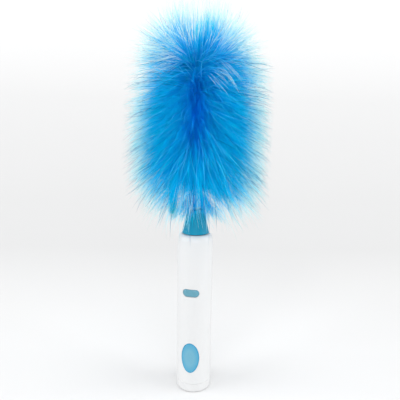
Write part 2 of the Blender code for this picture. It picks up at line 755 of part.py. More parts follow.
def build_rear_shell():
    shell = half_shell("rear_shell", 1)
    for index, (x, z) in enumerate(screw_places(), 1):
        boss = along_y(rod(BOSS_RADIUS, SEAM / 2, HANDLE_RADIUS), x, z)
        fuse(shell, in_wall(tool(f"rear_boss_{index}", boss)))
    post = rod(REAR_POST_RADIUS, -BOARD_BACK + GAP, HANDLE_RADIUS)
    fuse(shell, in_wall(tool("board_stay", along_y(post, 0.0, BUTTON_HEIGHT - REAR_POST_DROP))))
    clear = SCREW_RADIUS + GAP
    counterbore = SCREW_HEAD_RADIUS + GAP
    for index, (x, z) in enumerate(screw_places(), 1):
        hole = turned(
            [
                (0.0, -OVERRUN),
                (clear, -OVERRUN),
                (clear, HEAD_SEAT_DEPTH),
                (counterbore, HEAD_SEAT_DEPTH),
                (counterbore, HANDLE_RADIUS + OVERRUN),
                (0.0, HANDLE_RADIUS + OVERRUN),
            ],
            SMALL_FACETS,
        )
        cut(shell, tool(f"screw_hole_{index}", along_y(hole, x, z)))
    cut(shell, tool("rear_thread_slot", thread_slot(LUG_BEARING - math.pi)))
    cut(shell, *key_grooves("rear"))


def build_shell_screws():
    outline = [
        (0.0, -SCREW_LENGTH),
        (SCREW_RADIUS / 2, -SCREW_LENGTH),
        (SCREW_RADIUS, -SCREW_LENGTH + SCREW_GRIP),
        (SCREW_RADIUS, 0.0),
        (SCREW_HEAD_RADIUS, 0.0),
        (SCREW_HEAD_RADIUS, SCREW_HEAD_HEIGHT / 2),
        (SCREW_HEAD_RADIUS * SCREW_CROWN_SHARE, SCREW_HEAD_HEIGHT),
        (0.0, SCREW_HEAD_HEIGHT),
    ]
    for index, (x, z) in enumerate(screw_places(), 1):
        screw = piece(f"shell_screw_{index}", turned(outline, SMALL_FACETS), STEEL)
        screw.rotation_euler = (math.radians(-90.0), 0.0, 0.0)
        screw.location = (x, HEAD_SEAT_DEPTH + GAP, z)


def build_badge():
    seat = HANDLE_RADIUS - BADGE_RECESS + GAP
    outer = oval_stations(BADGE_HALF_WIDTH, BADGE_HALF_HEIGHT)
    crown = oval_stations(BADGE_HALF_WIDTH - BADGE_RIM, BADGE_HALF_HEIGHT - BADGE_RIM)
    layers = [(outer, seat), (outer, HANDLE_RADIUS), (crown, HANDLE_RADIUS + BADGE_RISE)]
    piece("oval_badge", moved(front_plate(layers), 0.0, 0.0, BADGE_CENTRE_HEIGHT), BLUE_PLASTIC)


# End cap, contact disc and cells


def build_end_cap(parent):
    inner = PLUG_RADIUS - PLUG_WALL
    fillet = (HANDLE_RADIUS - CAP_FILLET, CAP_FILLET)
    foot = quarter_ellipse(fillet, CAP_FILLET, CAP_FILLET, -math.pi / 2, FILLET_STEPS)
    outline = [(0.0, FOOT_RECESS), (FOOT_INNER_RADIUS, FOOT_RECESS), (FOOT_INNER_RADIUS + FOOT_RECESS, 0.0)]
    outline += foot
    outline += [
        (HANDLE_RADIUS, CAP_HEIGHT),
        (PLUG_RADIUS, CAP_HEIGHT),
        (PLUG_RADIUS, PLUG_TOP),
        (inner, PLUG_TOP),
        (inner, CAP_FLOOR),
        (0.0, CAP_FLOOR),
    ]
    cap = piece("end_cap", turned(outline, SHELL_FACETS), WHITE_PLASTIC, parent)
    for name, bearing in (("front", LUG_BEARING), ("rear", LUG_BEARING - math.pi)):
        middle = LUG_HEIGHT_AT_REST - THREAD_LEAD * bearing / math.tau
        first = bearing - LUG_ARC / 2
        last = bearing + LUG_ARC / 2
        lug = helix_bar(PLUG_RADIUS - PLUG_WALL / 2, PLUG_RADIUS + LUG_REACH, LUG_HEIGHT, middle, first, last)
        fuse(cap, tool(f"{name}_lug", lug, parent))
    half_length = COIN_SLOT_LENGTH / 2
    half_width = COIN_SLOT_WIDTH / 2
    top = FOOT_RECESS + COIN_SLOT_DEPTH
    slot = block((-half_length, -half_width, -OVERRUN), (half_length, half_width, top))
    cut(cap, tool("coin_slot", slot, parent))


def keyed_outline():
    """A round disc with a key on each side, along X."""
    half = KEY_WIDTH / 2
    reach = PLUG_RADIUS + KEY_REACH
    edge = math.asin(half / PLUG_RADIUS)
    steps = ROUND_FACETS // 2
    outline = []
    for start in (0.0, math.pi):
        side = math.cos(start)
        span = math.pi - 2 * edge
        outline += [(side * reach, -side * half), (side * reach, side * half)]
        outline += [polar(PLUG_RADIUS, start + edge + span * step / steps) for step in range(steps + 1)]
    return outline


def spring_points(x, y, base):
    """A conical coil that stands on base, widest at the bottom."""
    count = round(SPRING_TURNS * CURL_POINTS)
    points = []
    for step in range(count + 1):
        share = step / count
        radius = SPRING_BASE_RADIUS + (SPRING_TOP_RADIUS - SPRING_BASE_RADIUS) * share
        across, along = polar(radius, math.tau * SPRING_TURNS * share)
        height = base + SPRING_WIRE + share * SPRING_TURNS * SPRING_PITCH
        points.append((x + across, y + along, height))
    return points


def coil_gap(points):
    """Least distance between turns of one coil, wire to wire."""
    apart = CURL_POINTS // 2
    pairs = ((a, b) for i, a in enumerate(points) for b in points[i + apart :])
    return min((Vector(a) - Vector(b)).length for a, b in pairs) - 2 * SPRING_WIRE


def build_spring(name, x, y, base, parent=None, downwards=False):
    points = spring_points(x, y, base)
    if downwards:
        points = [(px, py, 2 * base + SPRING_HEIGHT - pz) for px, py, pz in points]
    gap = coil_gap(points)
    print(f"{name}: least gap between turns {gap * 1000:.2f} mm, wanted over {LEAST_COIL_GAP * 1000:.2f} mm")
    tube_curve(name, points, SPRING_WIRE, STEEL, 1, parent)


def bridge_strip(base):
    """The flat strip that joins two neighbouring cells, along X at the cells' outer side."""
    reach = HALF_PITCH + BRIDGE_END
    low = BRIDGE_OFFSET - BRIDGE_WIDTH / 2
    high = BRIDGE_OFFSET + BRIDGE_WIDTH / 2
    corner = BRIDGE_WIDTH / 4
    outline = [
        (-reach, low),
        (reach, low),
        (reach, high - corner),
        (reach - corner, high),
        (corner - reach, high),
        (-reach, high - corner),
    ]
    return prism(outline, base, base + STRIP_THICKNESS)


def build_contact_disc(parent):
    piece("contact_disc", prism(keyed_outline(), DISC_BASE, DISC_TOP), INNER_PLASTIC, parent)
    for name, turn in (("front", math.pi), ("rear", 0.0)):
        strip = bridge_strip(BRIDGE_BASE)
        strip.transform(Matrix.Rotation(turn, 4, "Z"))
        piece(f"{name}_bridge", strip, BRASS, parent)
    build_spring("battery_spring_1", -HALF_PITCH, -HALF_PITCH, BRIDGE_TOP + GAP, parent)
    build_spring("battery_spring_2", HALF_PITCH, HALF_PITCH, BRIDGE_TOP + GAP, parent)


def build_cells():
    """Four cells in series, so that neighbours point opposite ways."""
    body = CELL_LENGTH - CELL_NUB_HEIGHT
    outline = [
        (0.0, 0.0),
        (CELL_RADIUS - CELL_EDGE, 0.0),
        (CELL_RADIUS, CELL_EDGE),
        (CELL_RADIUS, body - CELL_EDGE),
        (CELL_RADIUS - CELL_EDGE, body),
        (CELL_NUB_RADIUS, body),
        (CELL_NUB_RADIUS, CELL_LENGTH),
        (0.0, CELL_LENGTH),
    ]
    places = ((-1, -1, True), (1, -1, False), (1, 1, True), (-1, 1, False))
    for index, (x, y, nub_up) in enumerate(places, 1):
        cell = piece(f"cell_{index}", turned(outline, CELL_FACETS), CELL_JACKET)
        cell.location = (x * HALF_PITCH, y * HALF_PITCH, HIGH_CELL_BASE)
        if not nub_up:
            cell.rotation_euler = (math.pi, 0.0, 0.0)
            cell.location.z = LOW_CELL_BASE + CELL_LENGTH


def spine_outline():
    """The star-shaped space between the four cells."""
    hollow = CELL_RADIUS + HOLDER_CLEARANCE
    offset = math.acos(HALF_PITCH / hollow)
    outline = []
    for quarter in range(4):
        middle = math.pi / 4 + quarter * math.pi / 2
        centre = polar(HALF_PITCH * math.sqrt(2), middle)
        start = middle + math.pi + math.pi / 4 - offset
        span = math.pi / 2 - 2 * offset
        for step in range(ARC_STEPS):
            across, along = polar(hollow, start - span * step / ARC_STEPS)
            outline.append((centre[0] + across, centre[1] + along))
    return outline


def terminal_strip(side):
    """A contact under the holder with a tab that rises through it, seen along X."""
    inner = HALF_PITCH - BRIDGE_END
    outer = HALF_PITCH + BRIDGE_END
    rise = HOLDER_TOP + STRIP_TAB_RISE / 2
    shape = prism(
        [
            (outer, TOP_CONTACT_BASE),
            (outer, TOP_CONTACT_TOP),
            (inner + STRIP_THICKNESS, TOP_CONTACT_TOP),
            (inner + STRIP_THICKNESS, rise),
            (inner, rise),
            (inner, TOP_CONTACT_BASE),
        ],
        -STRIP_WIDTH / 2,
        STRIP_WIDTH / 2,
    )
    stand = Matrix(((0, 0, 1, -HALF_PITCH), (side, 0, 0, 0), (0, 1, 0, 0), (0, 0, 0, 1)))
    shape.transform(stand)
    return shape


def build_battery_holder():
    disc = turned(
        [(0.0, HOLDER_BASE), (PLATE_RADIUS, HOLDER_BASE), (PLATE_RADIUS, HOLDER_TOP), (0.0, HOLDER_TOP)],
        SHELL_FACETS,
    )
    holder = piece("battery_holder", disc, INNER_PLASTIC)
    spine_base = BRIDGE_TOP + SPINE_LIFT
    fuse(holder, tool("spine", prism(spine_outline(), spine_base, HOLDER_BASE + HOLDER_THICKNESS / 2)))
    inner = HALF_PITCH - BRIDGE_END
    half = STRIP_WIDTH / 2 + GAP
    for name, side in (("front", -1), ("rear", 1)):
        ends = sorted((side * (inner - GAP), side * (inner + STRIP_THICKNESS + GAP)))
        low = (-HALF_PITCH - half, ends[0], HOLDER_BASE - OVERRUN)
        high = (-HALF_PITCH + half, ends[1], HOLDER_TOP + OVERRUN)
        cut(holder, tool(f"{name}_tab_slot", block(low, high)))
    piece("contact_positive", terminal_strip(-1), BRASS)
    piece("contact_negative", terminal_strip(1), BRASS)
    strip = bridge_strip(TOP_CONTACT_BASE)
    strip.transform(Matrix.Rotation(-math.pi / 2, 4, "Z"))
    piece("top_bridge", strip, BRASS)
    spring_base = TOP_CONTACT_BASE - GAP - SPRING_HEIGHT
    build_spring("battery_spring_3", HALF_PITCH, -HALF_PITCH, spring_base, downwards=True)
    build_spring("battery_spring_4", -HALF_PITCH, HALF_PITCH, spring_base, downwards=True)


# Power button, switch and board


def build_button(parent):
    """The button and the plunger it pushes, built about the button's own centre."""
    half_width = BUTTON_HALF_WIDTH
    half_height = BUTTON_HALF_HEIGHT
    flange = pill_stations(half_width + FLANGE_BORDER, half_height + FLANGE_BORDER)
    pill = pill_stations(half_width, half_height)
    crown = pill_stations(half_width - BUTTON_CROWN_INSET, half_height - BUTTON_CROWN_INSET)
    brow = HANDLE_RADIUS + BUTTON_RISE / 2
    layers = [
        (flange, FLANGE_BACK),
        (flange, FLANGE_FRONT),
        (pill, FLANGE_FRONT),
        (pill, brow),
        (crown, HANDLE_RADIUS + BUTTON_RISE),
    ]
    button = piece("power_button", front_plate(layers), BLUE_PLASTIC, parent)
    stem = along_y(rod(STEM_RADIUS, STEM_END, FLANGE_BACK + FLANGE_THICKNESS / 2), 0.0, 0.0, -1)
    fuse(button, tool("button_stem", stem, parent))
    plunger = along_y(rod(PLUNGER_RADIUS, PLUNGER_FRONT - PLUNGER_LENGTH, PLUNGER_FRONT), 0.0, 0.0, -1)
    piece("switch_plunger", plunger, INNER_PLASTIC, parent)


def build_switch():
    front, back = -SWITCH_FRONT, -SWITCH_BACK
    low = (-SWITCH_HALF_WIDTH, front, BUTTON_HEIGHT - SWITCH_HALF_HEIGHT)
    high = (SWITCH_HALF_WIDTH, back, BUTTON_HEIGHT + SWITCH_HALF_HEIGHT)
    body = piece("switch_body", block(low, high), WIRE_BLACK)
    floor = PLUNGER_FRONT - PLUNGER_LENGTH - BUTTON_TRAVEL - GAP
    well = rod(PLUNGER_RADIUS + RUNNING_GAP, floor, SWITCH_FRONT + OVERRUN)
    cut(body, tool("plunger_well", along_y(well, 0.0, BUTTON_HEIGHT, -1)))
    low = (-BOARD_HALF_WIDTH, -BOARD_FRONT, BUTTON_HEIGHT - BOARD_DROP)
    high = (BOARD_HALF_WIDTH, -BOARD_BACK, BUTTON_HEIGHT + BOARD_RISE)
    piece("switch_board", block(low, high), BOARD_GREEN)


# Motor


def build_motor():
    end_top = CAN_BASE - GAP
    bore = MOTOR_SHAFT_RADIUS + RUNNING_GAP
    inner = MOTOR_RADIUS - MOTOR_WALL
    can = turned(
        [
            (inner, CAN_BASE),
            (MOTOR_RADIUS, CAN_BASE),
            (MOTOR_RADIUS, MOTOR_TOP),
            (bore, MOTOR_TOP),
            (bore, MOTOR_TOP - MOTOR_WALL),
            (inner, MOTOR_TOP - MOTOR_WALL),
        ],
        ROUND_FACETS,
    )
    can = piece("motor_can", can, STEEL)
    bell = turned(
        [
            (0.0, MOTOR_BASE),
            (MOTOR_RADIUS - MOTOR_WALL, MOTOR_BASE),
            (MOTOR_RADIUS, MOTOR_BASE + MOTOR_WALL),
            (MOTOR_RADIUS, end_top),
            (bore, end_top),
            (bore, MOTOR_BASE + MOTOR_WALL),
            (0.0, MOTOR_BASE + MOTOR_WALL),
        ],
        ROUND_FACETS,
    )
    piece("motor_end_bell", bell, WIRE_BLACK)
    hole = MOTOR_SCREW_RADIUS + GAP
    for index, side in enumerate((-1, 1), 1):
        x = side * MOTOR_SCREW_SPREAD
        low = MOTOR_TOP - MOTOR_WALL - OVERRUN
        cut(can, tool(f"can_screw_hole_{index}", moved(rod(hole, low, MOTOR_TOP + OVERRUN), x, 0.0)))
        build_motor_screw(index, x)
        left = side * TERMINAL_SPREAD
        half = TERMINAL_WIDTH / 2
        tab = block(
            (left - half, -STRIP_THICKNESS, MOTOR_BASE - GAP - TERMINAL_LENGTH),
            (left + half, STRIP_THICKNESS, MOTOR_BASE - GAP),
        )
        piece(f"motor_terminal_{index}", tab, BRASS)


def build_motor_screw(index, x):
    seat = LOWER_PLATE_TOP + GAP
    outline = [
        (0.0, seat - MOTOR_SCREW_LENGTH),
        (MOTOR_SCREW_RADIUS, seat - MOTOR_SCREW_LENGTH),
        (MOTOR_SCREW_RADIUS, seat),
        (MOTOR_SCREW_HEAD_RADIUS, seat),
        (MOTOR_SCREW_HEAD_RADIUS, seat + MOTOR_SCREW_HEAD_HEIGHT),
        (0.0, seat + MOTOR_SCREW_HEAD_HEIGHT),
    ]
    screw = piece(f"motor_screw_{index}", turned(outline, SMALL_FACETS), STEEL)
    screw.location = (x, 0.0, 0.0)


def pole_outline():
    """Cross-section of the wound core: three poles that widen at their faces."""
    core = ARMATURE_RADIUS * ARMATURE_CORE_SHARE
    half_gap = ARMATURE_SLOT / 2
    pole = math.tau / POLES
    outline = []
    for index in range(POLES):
        middle = index * pole
        face = pole / 2 - half_gap
        outline += [polar(core, middle - face / 2)]
        outline += [polar(ARMATURE_RADIUS * POLE_ROOT_SHARE, middle - face / 2)]
        outline += [polar(ARMATURE_RADIUS * POLE_LIP_SHARE, middle - face)]
        outline += [polar(ARMATURE_RADIUS, middle + face * share) for share in POLE_FACE_SHARES]
        outline += [polar(ARMATURE_RADIUS * POLE_LIP_SHARE, middle + face)]
        outline += [polar(ARMATURE_RADIUS * POLE_ROOT_SHARE, middle + face / 2)]
        outline += [polar(core, middle + face / 2)]
    return outline


def build_rotor(parent):
    shaft_base = MOTOR_BASE + MOTOR_WALL + GAP
    shaft_top = PINION_TOP + GAP
    piece("motor_shaft", rod(MOTOR_SHAFT_RADIUS, shaft_base, shaft_top), STEEL, parent)
    middle = (CAN_BASE + MOTOR_TOP - MOTOR_WALL) / 2
    low = middle - ARMATURE_LENGTH / 2
    core = prism(pole_outline(), low, low + ARMATURE_LENGTH)
    armature = piece("motor_armature", core, COPPER, parent)
    commutator = rod(COMMUTATOR_RADIUS, low - COMMUTATOR_LENGTH, low + EMBED)
    fuse(armature, tool("commutator", commutator, parent))
    bore = rod(MOTOR_SHAFT_RADIUS + GAP, low - OVERRUN, low + ARMATURE_LENGTH + OVERRUN)
    cut(armature, tool("armature_bore", bore, parent))
    teeth = prism(gear_outline(PINION_TEETH, mesh_turn(PINION_TEETH)), PINION_BASE, PINION_TOP)
    pinion = piece("motor_pinion", teeth, BRASS, parent)
    bore = rod(MOTOR_SHAFT_RADIUS + GAP, PINION_BASE - OVERRUN, PINION_TOP + OVERRUN)
    cut(pinion, tool("pinion_bore", bore, parent))


# Gearbox


def involute(angle):
    return math.tan(angle) - angle


def gear_outline(teeth, turn):
    """A spur gear with involute flanks. turn places the middle of one tooth."""
    pitch = GEAR_MODULE * teeth / 2
    base = pitch * math.cos(PRESSURE_ANGLE)
    root = pitch - GEAR_MODULE * DEDENDUM_SHARE
    tip = pitch + GEAR_MODULE * ADDENDUM_SHARE
    half = math.pi / (2 * teeth) - TOOTH_BACKLASH / (2 * pitch)

    def half_width(radius):
        pressure = math.acos(min(1.0, base / radius))
        return half + involute(PRESSURE_ANGLE) - involute(pressure)

    flank = [(radius, half_width(max(radius, base))) for radius in (root, tip)]
    outline = []
    for index in range(teeth):
        middle = turn + math.tau * index / teeth
        outline += [polar(radius, middle - width) for radius, width in flank]
        outline += [polar(radius, middle + width) for radius, width in reversed(flank)]
    return outline


def mesh_turn(teeth):
    """Turns a gear on the main axis so that a space, not a tooth, faces the idler."""
    towards_idler = math.pi / 2
    return towards_idler + math.pi / teeth


def idler_turn():
    """A tooth of the idler faces the main axis."""
    return -math.pi / 2


def build_gear_plates():
    """Two plates in the shells' grooves carry the shaft, the idler pin and the motor."""
    lower = turned(
        [
            (MOTOR_SHAFT_RADIUS + 2 * RUNNING_GAP, LOWER_PLATE_BASE),
            (PLATE_RADIUS, LOWER_PLATE_BASE),
            (PLATE_RADIUS, LOWER_PLATE_TOP),
            (MOTOR_SHAFT_RADIUS + 2 * RUNNING_GAP, LOWER_PLATE_TOP),
        ],
        SHELL_FACETS,
    )
    upper = turned(
        [
            (SHAFT_RADIUS + RUNNING_GAP, UPPER_PLATE_BASE),
            (PLATE_RADIUS, UPPER_PLATE_BASE),
            (PLATE_RADIUS, UPPER_PLATE_TOP),
            (SHAFT_RADIUS + RUNNING_GAP, UPPER_PLATE_TOP),
        ],
        SHELL_FACETS,
    )
    lower = piece("gear_plate_lower", lower, INNER_PLASTIC)
    upper = piece("gear_plate_upper", upper, INNER_PLASTIC)
    pin_hole = IDLER_PIN_RADIUS + GAP
    for plate, base, top in (
        (lower, LOWER_PLATE_BASE, LOWER_PLATE_TOP),
        (upper, UPPER_PLATE_BASE, UPPER_PLATE_TOP),
    ):
        hole = rod(pin_hole, base - OVERRUN, top + OVERRUN)
        cut(plate, tool(f"{plate.name}_pin_hole", moved(hole, 0.0, GEAR_DISTANCE)))
    spread, setback = polar(PILLAR_DISTANCE, PILLAR_BEARING)
    for index, side in enumerate((-1, 1), 1):
        pillar = rod(PILLAR_RADIUS, LOWER_PLATE_TOP - EMBED, UPPER_PLATE_BASE - GAP)
        fuse(lower, tool(f"pillar_{index}", moved(pillar, side * spread, -setback)))
        hole = rod(MOTOR_SCREW_RADIUS + GAP, LOWER_PLATE_BASE - OVERRUN, LOWER_PLATE_TOP + OVERRUN)
        cut(lower, tool(f"plate_screw_hole_{index}", moved(hole, side * MOTOR_SCREW_SPREAD, 0.0)))
    pin = rod(IDLER_PIN_RADIUS, LOWER_PLATE_BASE + GAP, UPPER_PLATE_TOP)
    piece("idler_pin", moved(pin, 0.0, GEAR_DISTANCE), STEEL)
    washer = tube(SHAFT_RADIUS + RUNNING_GAP, WASHER_RADIUS, WASHER_BASE, WASHER_TOP)
    piece("thrust_washer", washer, BRASS)
    bush = turned(
        [
            (SHAFT_RADIUS + RUNNING_GAP, BUSH_FLANGE_BASE),
            (BUSH_FLANGE_RADIUS, BUSH_FLANGE_BASE),
            (BUSH_FLANGE_RADIUS, BUSH_FLANGE_TOP),
            (BUSH_RADIUS, BUSH_FLANGE_TOP),
            (BUSH_RADIUS, HANDLE_TOP - GAP),
            (SHAFT_RADIUS + RUNNING_GAP, HANDLE_TOP - GAP),
        ],
        ROUND_FACETS,
    )
    piece("nose_bush", bush, BRASS)


def build_idler(parent):
    """The compound idler, built about its own pin."""
    middle = IDLER_BASE + GEAR_WIDTH
    top = UPPER_PLATE_BASE - GEAR_FLOOR
    large = prism(gear_outline(IDLER_LARGE_TEETH, idler_turn()), IDLER_BASE, middle)
    gear = piece("idler_gear", large, GEAR_PLASTIC, parent)
    small = prism(gear_outline(IDLER_SMALL_TEETH, idler_turn()), middle - EMBED, top)
    fuse(gear, tool("idler_small_gear", small, parent))
    bore = rod(IDLER_PIN_RADIUS + RUNNING_GAP, IDLER_BASE - OVERRUN, top + OVERRUN)
    cut(gear, tool("idler_bore", bore, parent))


def build_drive(parent):
    shaft = rod(SHAFT_RADIUS, OUTPUT_GEAR_BASE, HEX_TOP + SHAFT_PROUD, ROUND_FACETS)
    piece("output_shaft", shaft, STEEL, parent)
    teeth = prism(gear_outline(OUTPUT_TEETH, mesh_turn(OUTPUT_TEETH)), OUTPUT_GEAR_BASE, OUTPUT_GEAR_TOP)
    gear = piece("output_gear", teeth, GEAR_PLASTIC, parent)
    hub = rod(OUTPUT_HUB_RADIUS, OUTPUT_GEAR_TOP - EMBED, HUB_TOP, ROUND_FACETS)
    fuse(gear, tool("output_hub", hub, parent))
    bore = rod(SHAFT_RADIUS + GAP, OUTPUT_GEAR_BASE - OVERRUN, HUB_TOP + OVERRUN, ROUND_FACETS)
    cut(gear, tool("output_bore", bore, parent))
    corner = HEX_ACROSS_FLATS / math.sqrt(3)
    hexagon = piece("drive_hex", prism(circle(corner, 6), FLANGE_HEIGHT, HEX_TOP), STEEL, parent)
    flange = rod(DRIVE_FLANGE_RADIUS, FLANGE_HEIGHT - GAP, HEX_BASE, ROUND_FACETS)
    fuse(hexagon, tool("drive_flange", flange, parent))
    bore = rod(SHAFT_RADIUS + GAP, FLANGE_HEIGHT - OVERRUN, HEX_TOP + OVERRUN, ROUND_FACETS)
    cut(hexagon, tool("drive_bore", bore, parent))


# Head


def collar_radius(height):
    """Outer radius of the cone at a height."""
    share = (height - COLLAR_BASE) / COLLAR_HEIGHT
    return COLLAR_RADIUS + (COLLAR_TOP_RADIUS - COLLAR_RADIUS) * share


def build_collar(parent):
    hollow_top = SOCKET_TOP - COLLAR_WALL
    seat = ROD_RADIUS + GAP
    outline = [
        (0.0, ROD_BASE - GAP),
        (seat, ROD_BASE - GAP),
        (seat, COLLAR_TOP),
        (COLLAR_TOP_RADIUS - COLLAR_EDGE, COLLAR_TOP),
        (collar_radius(COLLAR_TOP - COLLAR_EDGE), COLLAR_TOP - COLLAR_EDGE),
        (COLLAR_RADIUS, COLLAR_BASE),
        (COLLAR_RADIUS - COLLAR_WALL, COLLAR_BASE),
        (collar_radius(hollow_top) - COLLAR_WALL, hollow_top),
        (SOCKET_TUBE_RADIUS, hollow_top),
        (SOCKET_TUBE_RADIUS, SOCKET_BASE),
        (0.0, SOCKET_BASE),
    ]
    collar = piece("head_collar", turned(outline, SHELL_FACETS), COLLAR_PLASTIC, parent)
    rib_base = SOCKET_BASE + COLLAR_WALL
    inner = SOCKET_TUBE_RADIUS - COLLAR_WALL / 2
    for index in range(RIB_COUNT):
        section = [
            (inner, rib_base),
            (collar_radius(rib_base) - COLLAR_WALL / 2, rib_base),
            (collar_radius(hollow_top) - COLLAR_WALL / 2, hollow_top + EMBED),
            (inner, hollow_top + EMBED),
        ]
        rib = prism(section, -COLLAR_RIB_THICKNESS / 2, COLLAR_RIB_THICKNESS / 2)
        rib.transform(Matrix.Rotation(math.pi / 2, 4, "X"))
        rib.transform(Matrix.Rotation(math.pi * (2 * index + 1) / RIB_COUNT, 4, "Z"))
        fuse(collar, tool(f"collar_rib_{index + 1}", rib, parent))
    corner = HEX_ACROSS_FLATS / math.sqrt(3) + GAP
    socket = prism(circle(corner, 6), SOCKET_BASE - OVERRUN, SOCKET_TOP)
    cut(collar, tool("hex_socket", socket, parent))


def build_core(parent):
    piece("core_rod", rod(ROD_RADIUS, ROD_BASE, ROD_TOP, ROUND_FACETS), INNER_PLASTIC, parent)
    seat = ROD_RADIUS + GAP
    dome = quarter_ellipse((0.0, TIP_BASE + TIP_SEAT_DEPTH), TIP_RADIUS, TIP_HEIGHT - TIP_SEAT_DEPTH, 0.0, 4)
    dome[-1] = (0.0, TIP_BASE + TIP_HEIGHT)
    outline = [(0.0, ROD_TOP + GAP), (seat, ROD_TOP + GAP), (seat, TIP_BASE), (TIP_RADIUS, TIP_BASE)]
    piece("rod_tip", turned(outline + dome, ROUND_FACETS), COLLAR_PLASTIC, parent)


def tip_place(share, azimuth, length_share):
    """Where a strand ends. share runs from the lowest strand, 0, to the highest, 1."""
    angle = LOWEST_TIP_ANGLE + (HIGHEST_TIP_ANGLE - LOWEST_TIP_ANGLE) * share
    radius = HEAD_RADIUS * abs(math.cos(angle)) ** HEAD_FULLNESS_SHARE
    reach = HEAD_REACH_UP if angle > 0 else HEAD_REACH_DOWN
    rise = math.copysign(abs(math.sin(angle)) ** HEAD_FULLNESS_SHARE, angle) * reach
    tip = Vector((*polar(radius, azimuth), HEAD_MIDDLE_HEIGHT + rise))
    root = Vector((0.0, 0.0, SLEEVE_BASE + (SLEEVE_TOP - SLEEVE_BASE) * share))
    return root.lerp(tip, length_share)


def grow_strand(shape, face, chance):
    """Draws one facet of the sleeve out into a strand of three sides."""
    middle = face.calc_center_median()
    share = (middle.z - SLEEVE_BASE) / (SLEEVE_TOP - SLEEVE_BASE)
    lowered = share * (1.0 - DROOP_SHARE + DROOP_SHARE * share**3)
    azimuth = math.atan2(middle.y, middle.x) + chance.uniform(-SWEEP_SPREAD, SWEEP_SPREAD)
    tip = tip_place(lowered, azimuth, 1.0 - chance.uniform(0.0, 2 * LENGTH_SPREAD_SHARE))
    bmesh.ops.inset_individual(shape, faces=[face], thickness=STRAND_ROOT / 2, use_even_offset=True)
    along = tip - middle
    outward = Vector((along.x, along.y, 0.0)).normalized()
    bow = outward * abs(along.z) + Vector((0.0, 0.0, along.length - abs(along.z)))
    halfway = middle + along * MIDDLE_SHARE + bow * BEND_SHARE
    turn = face.normal.rotation_difference(along)
    drawn = bmesh.ops.extrude_discrete_faces(shape, faces=[face])["faces"][0]
    for corner in drawn.verts:
        offset = turn @ (corner.co - middle)
        corner.co = halfway + offset.normalized() * STRAND_MIDDLE
    point = bmesh.ops.extrude_discrete_faces(shape, faces=[drawn])["faces"][0]
    bmesh.ops.pointmerge(shape, verts=list(point.verts), merge_co=tip)


def build_fibre_ring(index, chance, parent):
    """A slice of the backing sleeve with its strands."""
    low = SLEEVE_BASE + index * RING_PITCH + GAP / 2
    high = low + RING_PITCH - GAP
    bore = (ROD_RADIUS + GAP) / math.cos(math.pi / STRANDS_ROUND)
    shape = bmesh.new()
    rings = []
    for band in range(STRAND_BANDS + 1):
        height = low + (high - low) * band / STRAND_BANDS
        shift = (band % 2) / 2 + index * RING_TWIST_SHARE
        turns = [math.tau * (step + shift) / STRANDS_ROUND for step in range(STRANDS_ROUND)]
        rings.append([shape.verts.new((*polar(SLEEVE_RADIUS, turn), height)) for turn in turns])
    facets = []
    for band, (below, above) in enumerate(zip(rings, rings[1:])):
        for step in range(STRANDS_ROUND):
            after = (step + 1) % STRANDS_ROUND
            if band % 2:
                facets.append(shape.faces.new([below[step], below[after], above[after]]))
                facets.append(shape.faces.new([below[step], above[after], above[step]]))
            else:
                facets.append(shape.faces.new([below[step], below[after], above[step]]))
                facets.append(shape.faces.new([below[after], above[after], above[step]]))
    inner = []
    for ring, height in ((rings[0], low), (rings[-1], high)):
        turns = [math.atan2(corner.co.y, corner.co.x) for corner in ring]
        inner.append([shape.verts.new((*polar(bore, turn), height)) for turn in turns])
    last = len(rings[-1])
    for step in range(last):
        after = (step + 1) % last
        shape.faces.new([rings[0][step], inner[0][step], inner[0][after], rings[0][after]])
        shape.faces.new([rings[-1][step], rings[-1][after], inner[1][after], inner[1][step]])
    bridge = [
        shape.edges.get((loop[step], loop[(step + 1) % last])) for loop in inner for step in range(last)
    ]
    bmesh.ops.bridge_loops(shape, edges=bridge)
    bmesh.ops.recalc_face_normals(shape, faces=shape.faces)
    for face in facets:
        grow_strand(shape, face, chance)
    piece(f"fibre_ring_{index + 1}", shape, FIBRE_BLUE, parent)


# Wires


def wire_points(start, leave, end, arrive):
    """A smooth route between two ends, leaving and arriving along given directions."""
    first, last = Vector(start), Vector(end)
    second = first + Vector(leave) * WIRE_SWING
    third = last - Vector(arrive) * WIRE_SWING
    points = []
    for step in range(WIRE_POINTS):
        share = step / (WIRE_POINTS - 1)
        rest = 1.0 - share
        points.append(
            first * rest**3
            + second * 3 * rest**2 * share
            + third * 3 * rest * share**2
            + last * share**3
        )
    return points


def build_wires():
    up = (0.0, 0.0, 1.0)
    tab_y = HALF_PITCH - BRIDGE_END + STRIP_THICKNESS / 2
    tab_top = HOLDER_TOP + STRIP_TAB_RISE / 2 + GAP
    terminal_base = MOTOR_BASE - GAP - TERMINAL_LENGTH - GAP
    board_middle = -(BOARD_FRONT + BOARD_BACK) / 2
    board_base = BUTTON_HEIGHT - BOARD_DROP - GAP
    board_rear = -BOARD_BACK + WIRE_RADIUS + GAP
    routes = {
        "wire_positive": (
            (-HALF_PITCH, -tab_y, tab_top),
            up,
            (-BOARD_POST_SPREAD, board_middle, board_base),
            up,
            WIRE_RED,
        ),
        "wire_switched": (
            (BOARD_POST_SPREAD, board_rear, BUTTON_HEIGHT - BOARD_DROP / 2),
            up,
            (TERMINAL_SPREAD, 0.0, terminal_base),
            up,
            WIRE_RED,
        ),
        "wire_negative": (
            (-HALF_PITCH, tab_y, tab_top),
            up,
            (-TERMINAL_SPREAD, 0.0, terminal_base),
            up,
            WIRE_BLACK,
        ),
    }
    for name, (start, leave, end, arrive, finish) in routes.items():
        tube_curve(name, wire_points(start, leave, end, arrive), WIRE_RADIUS, finish, 2)


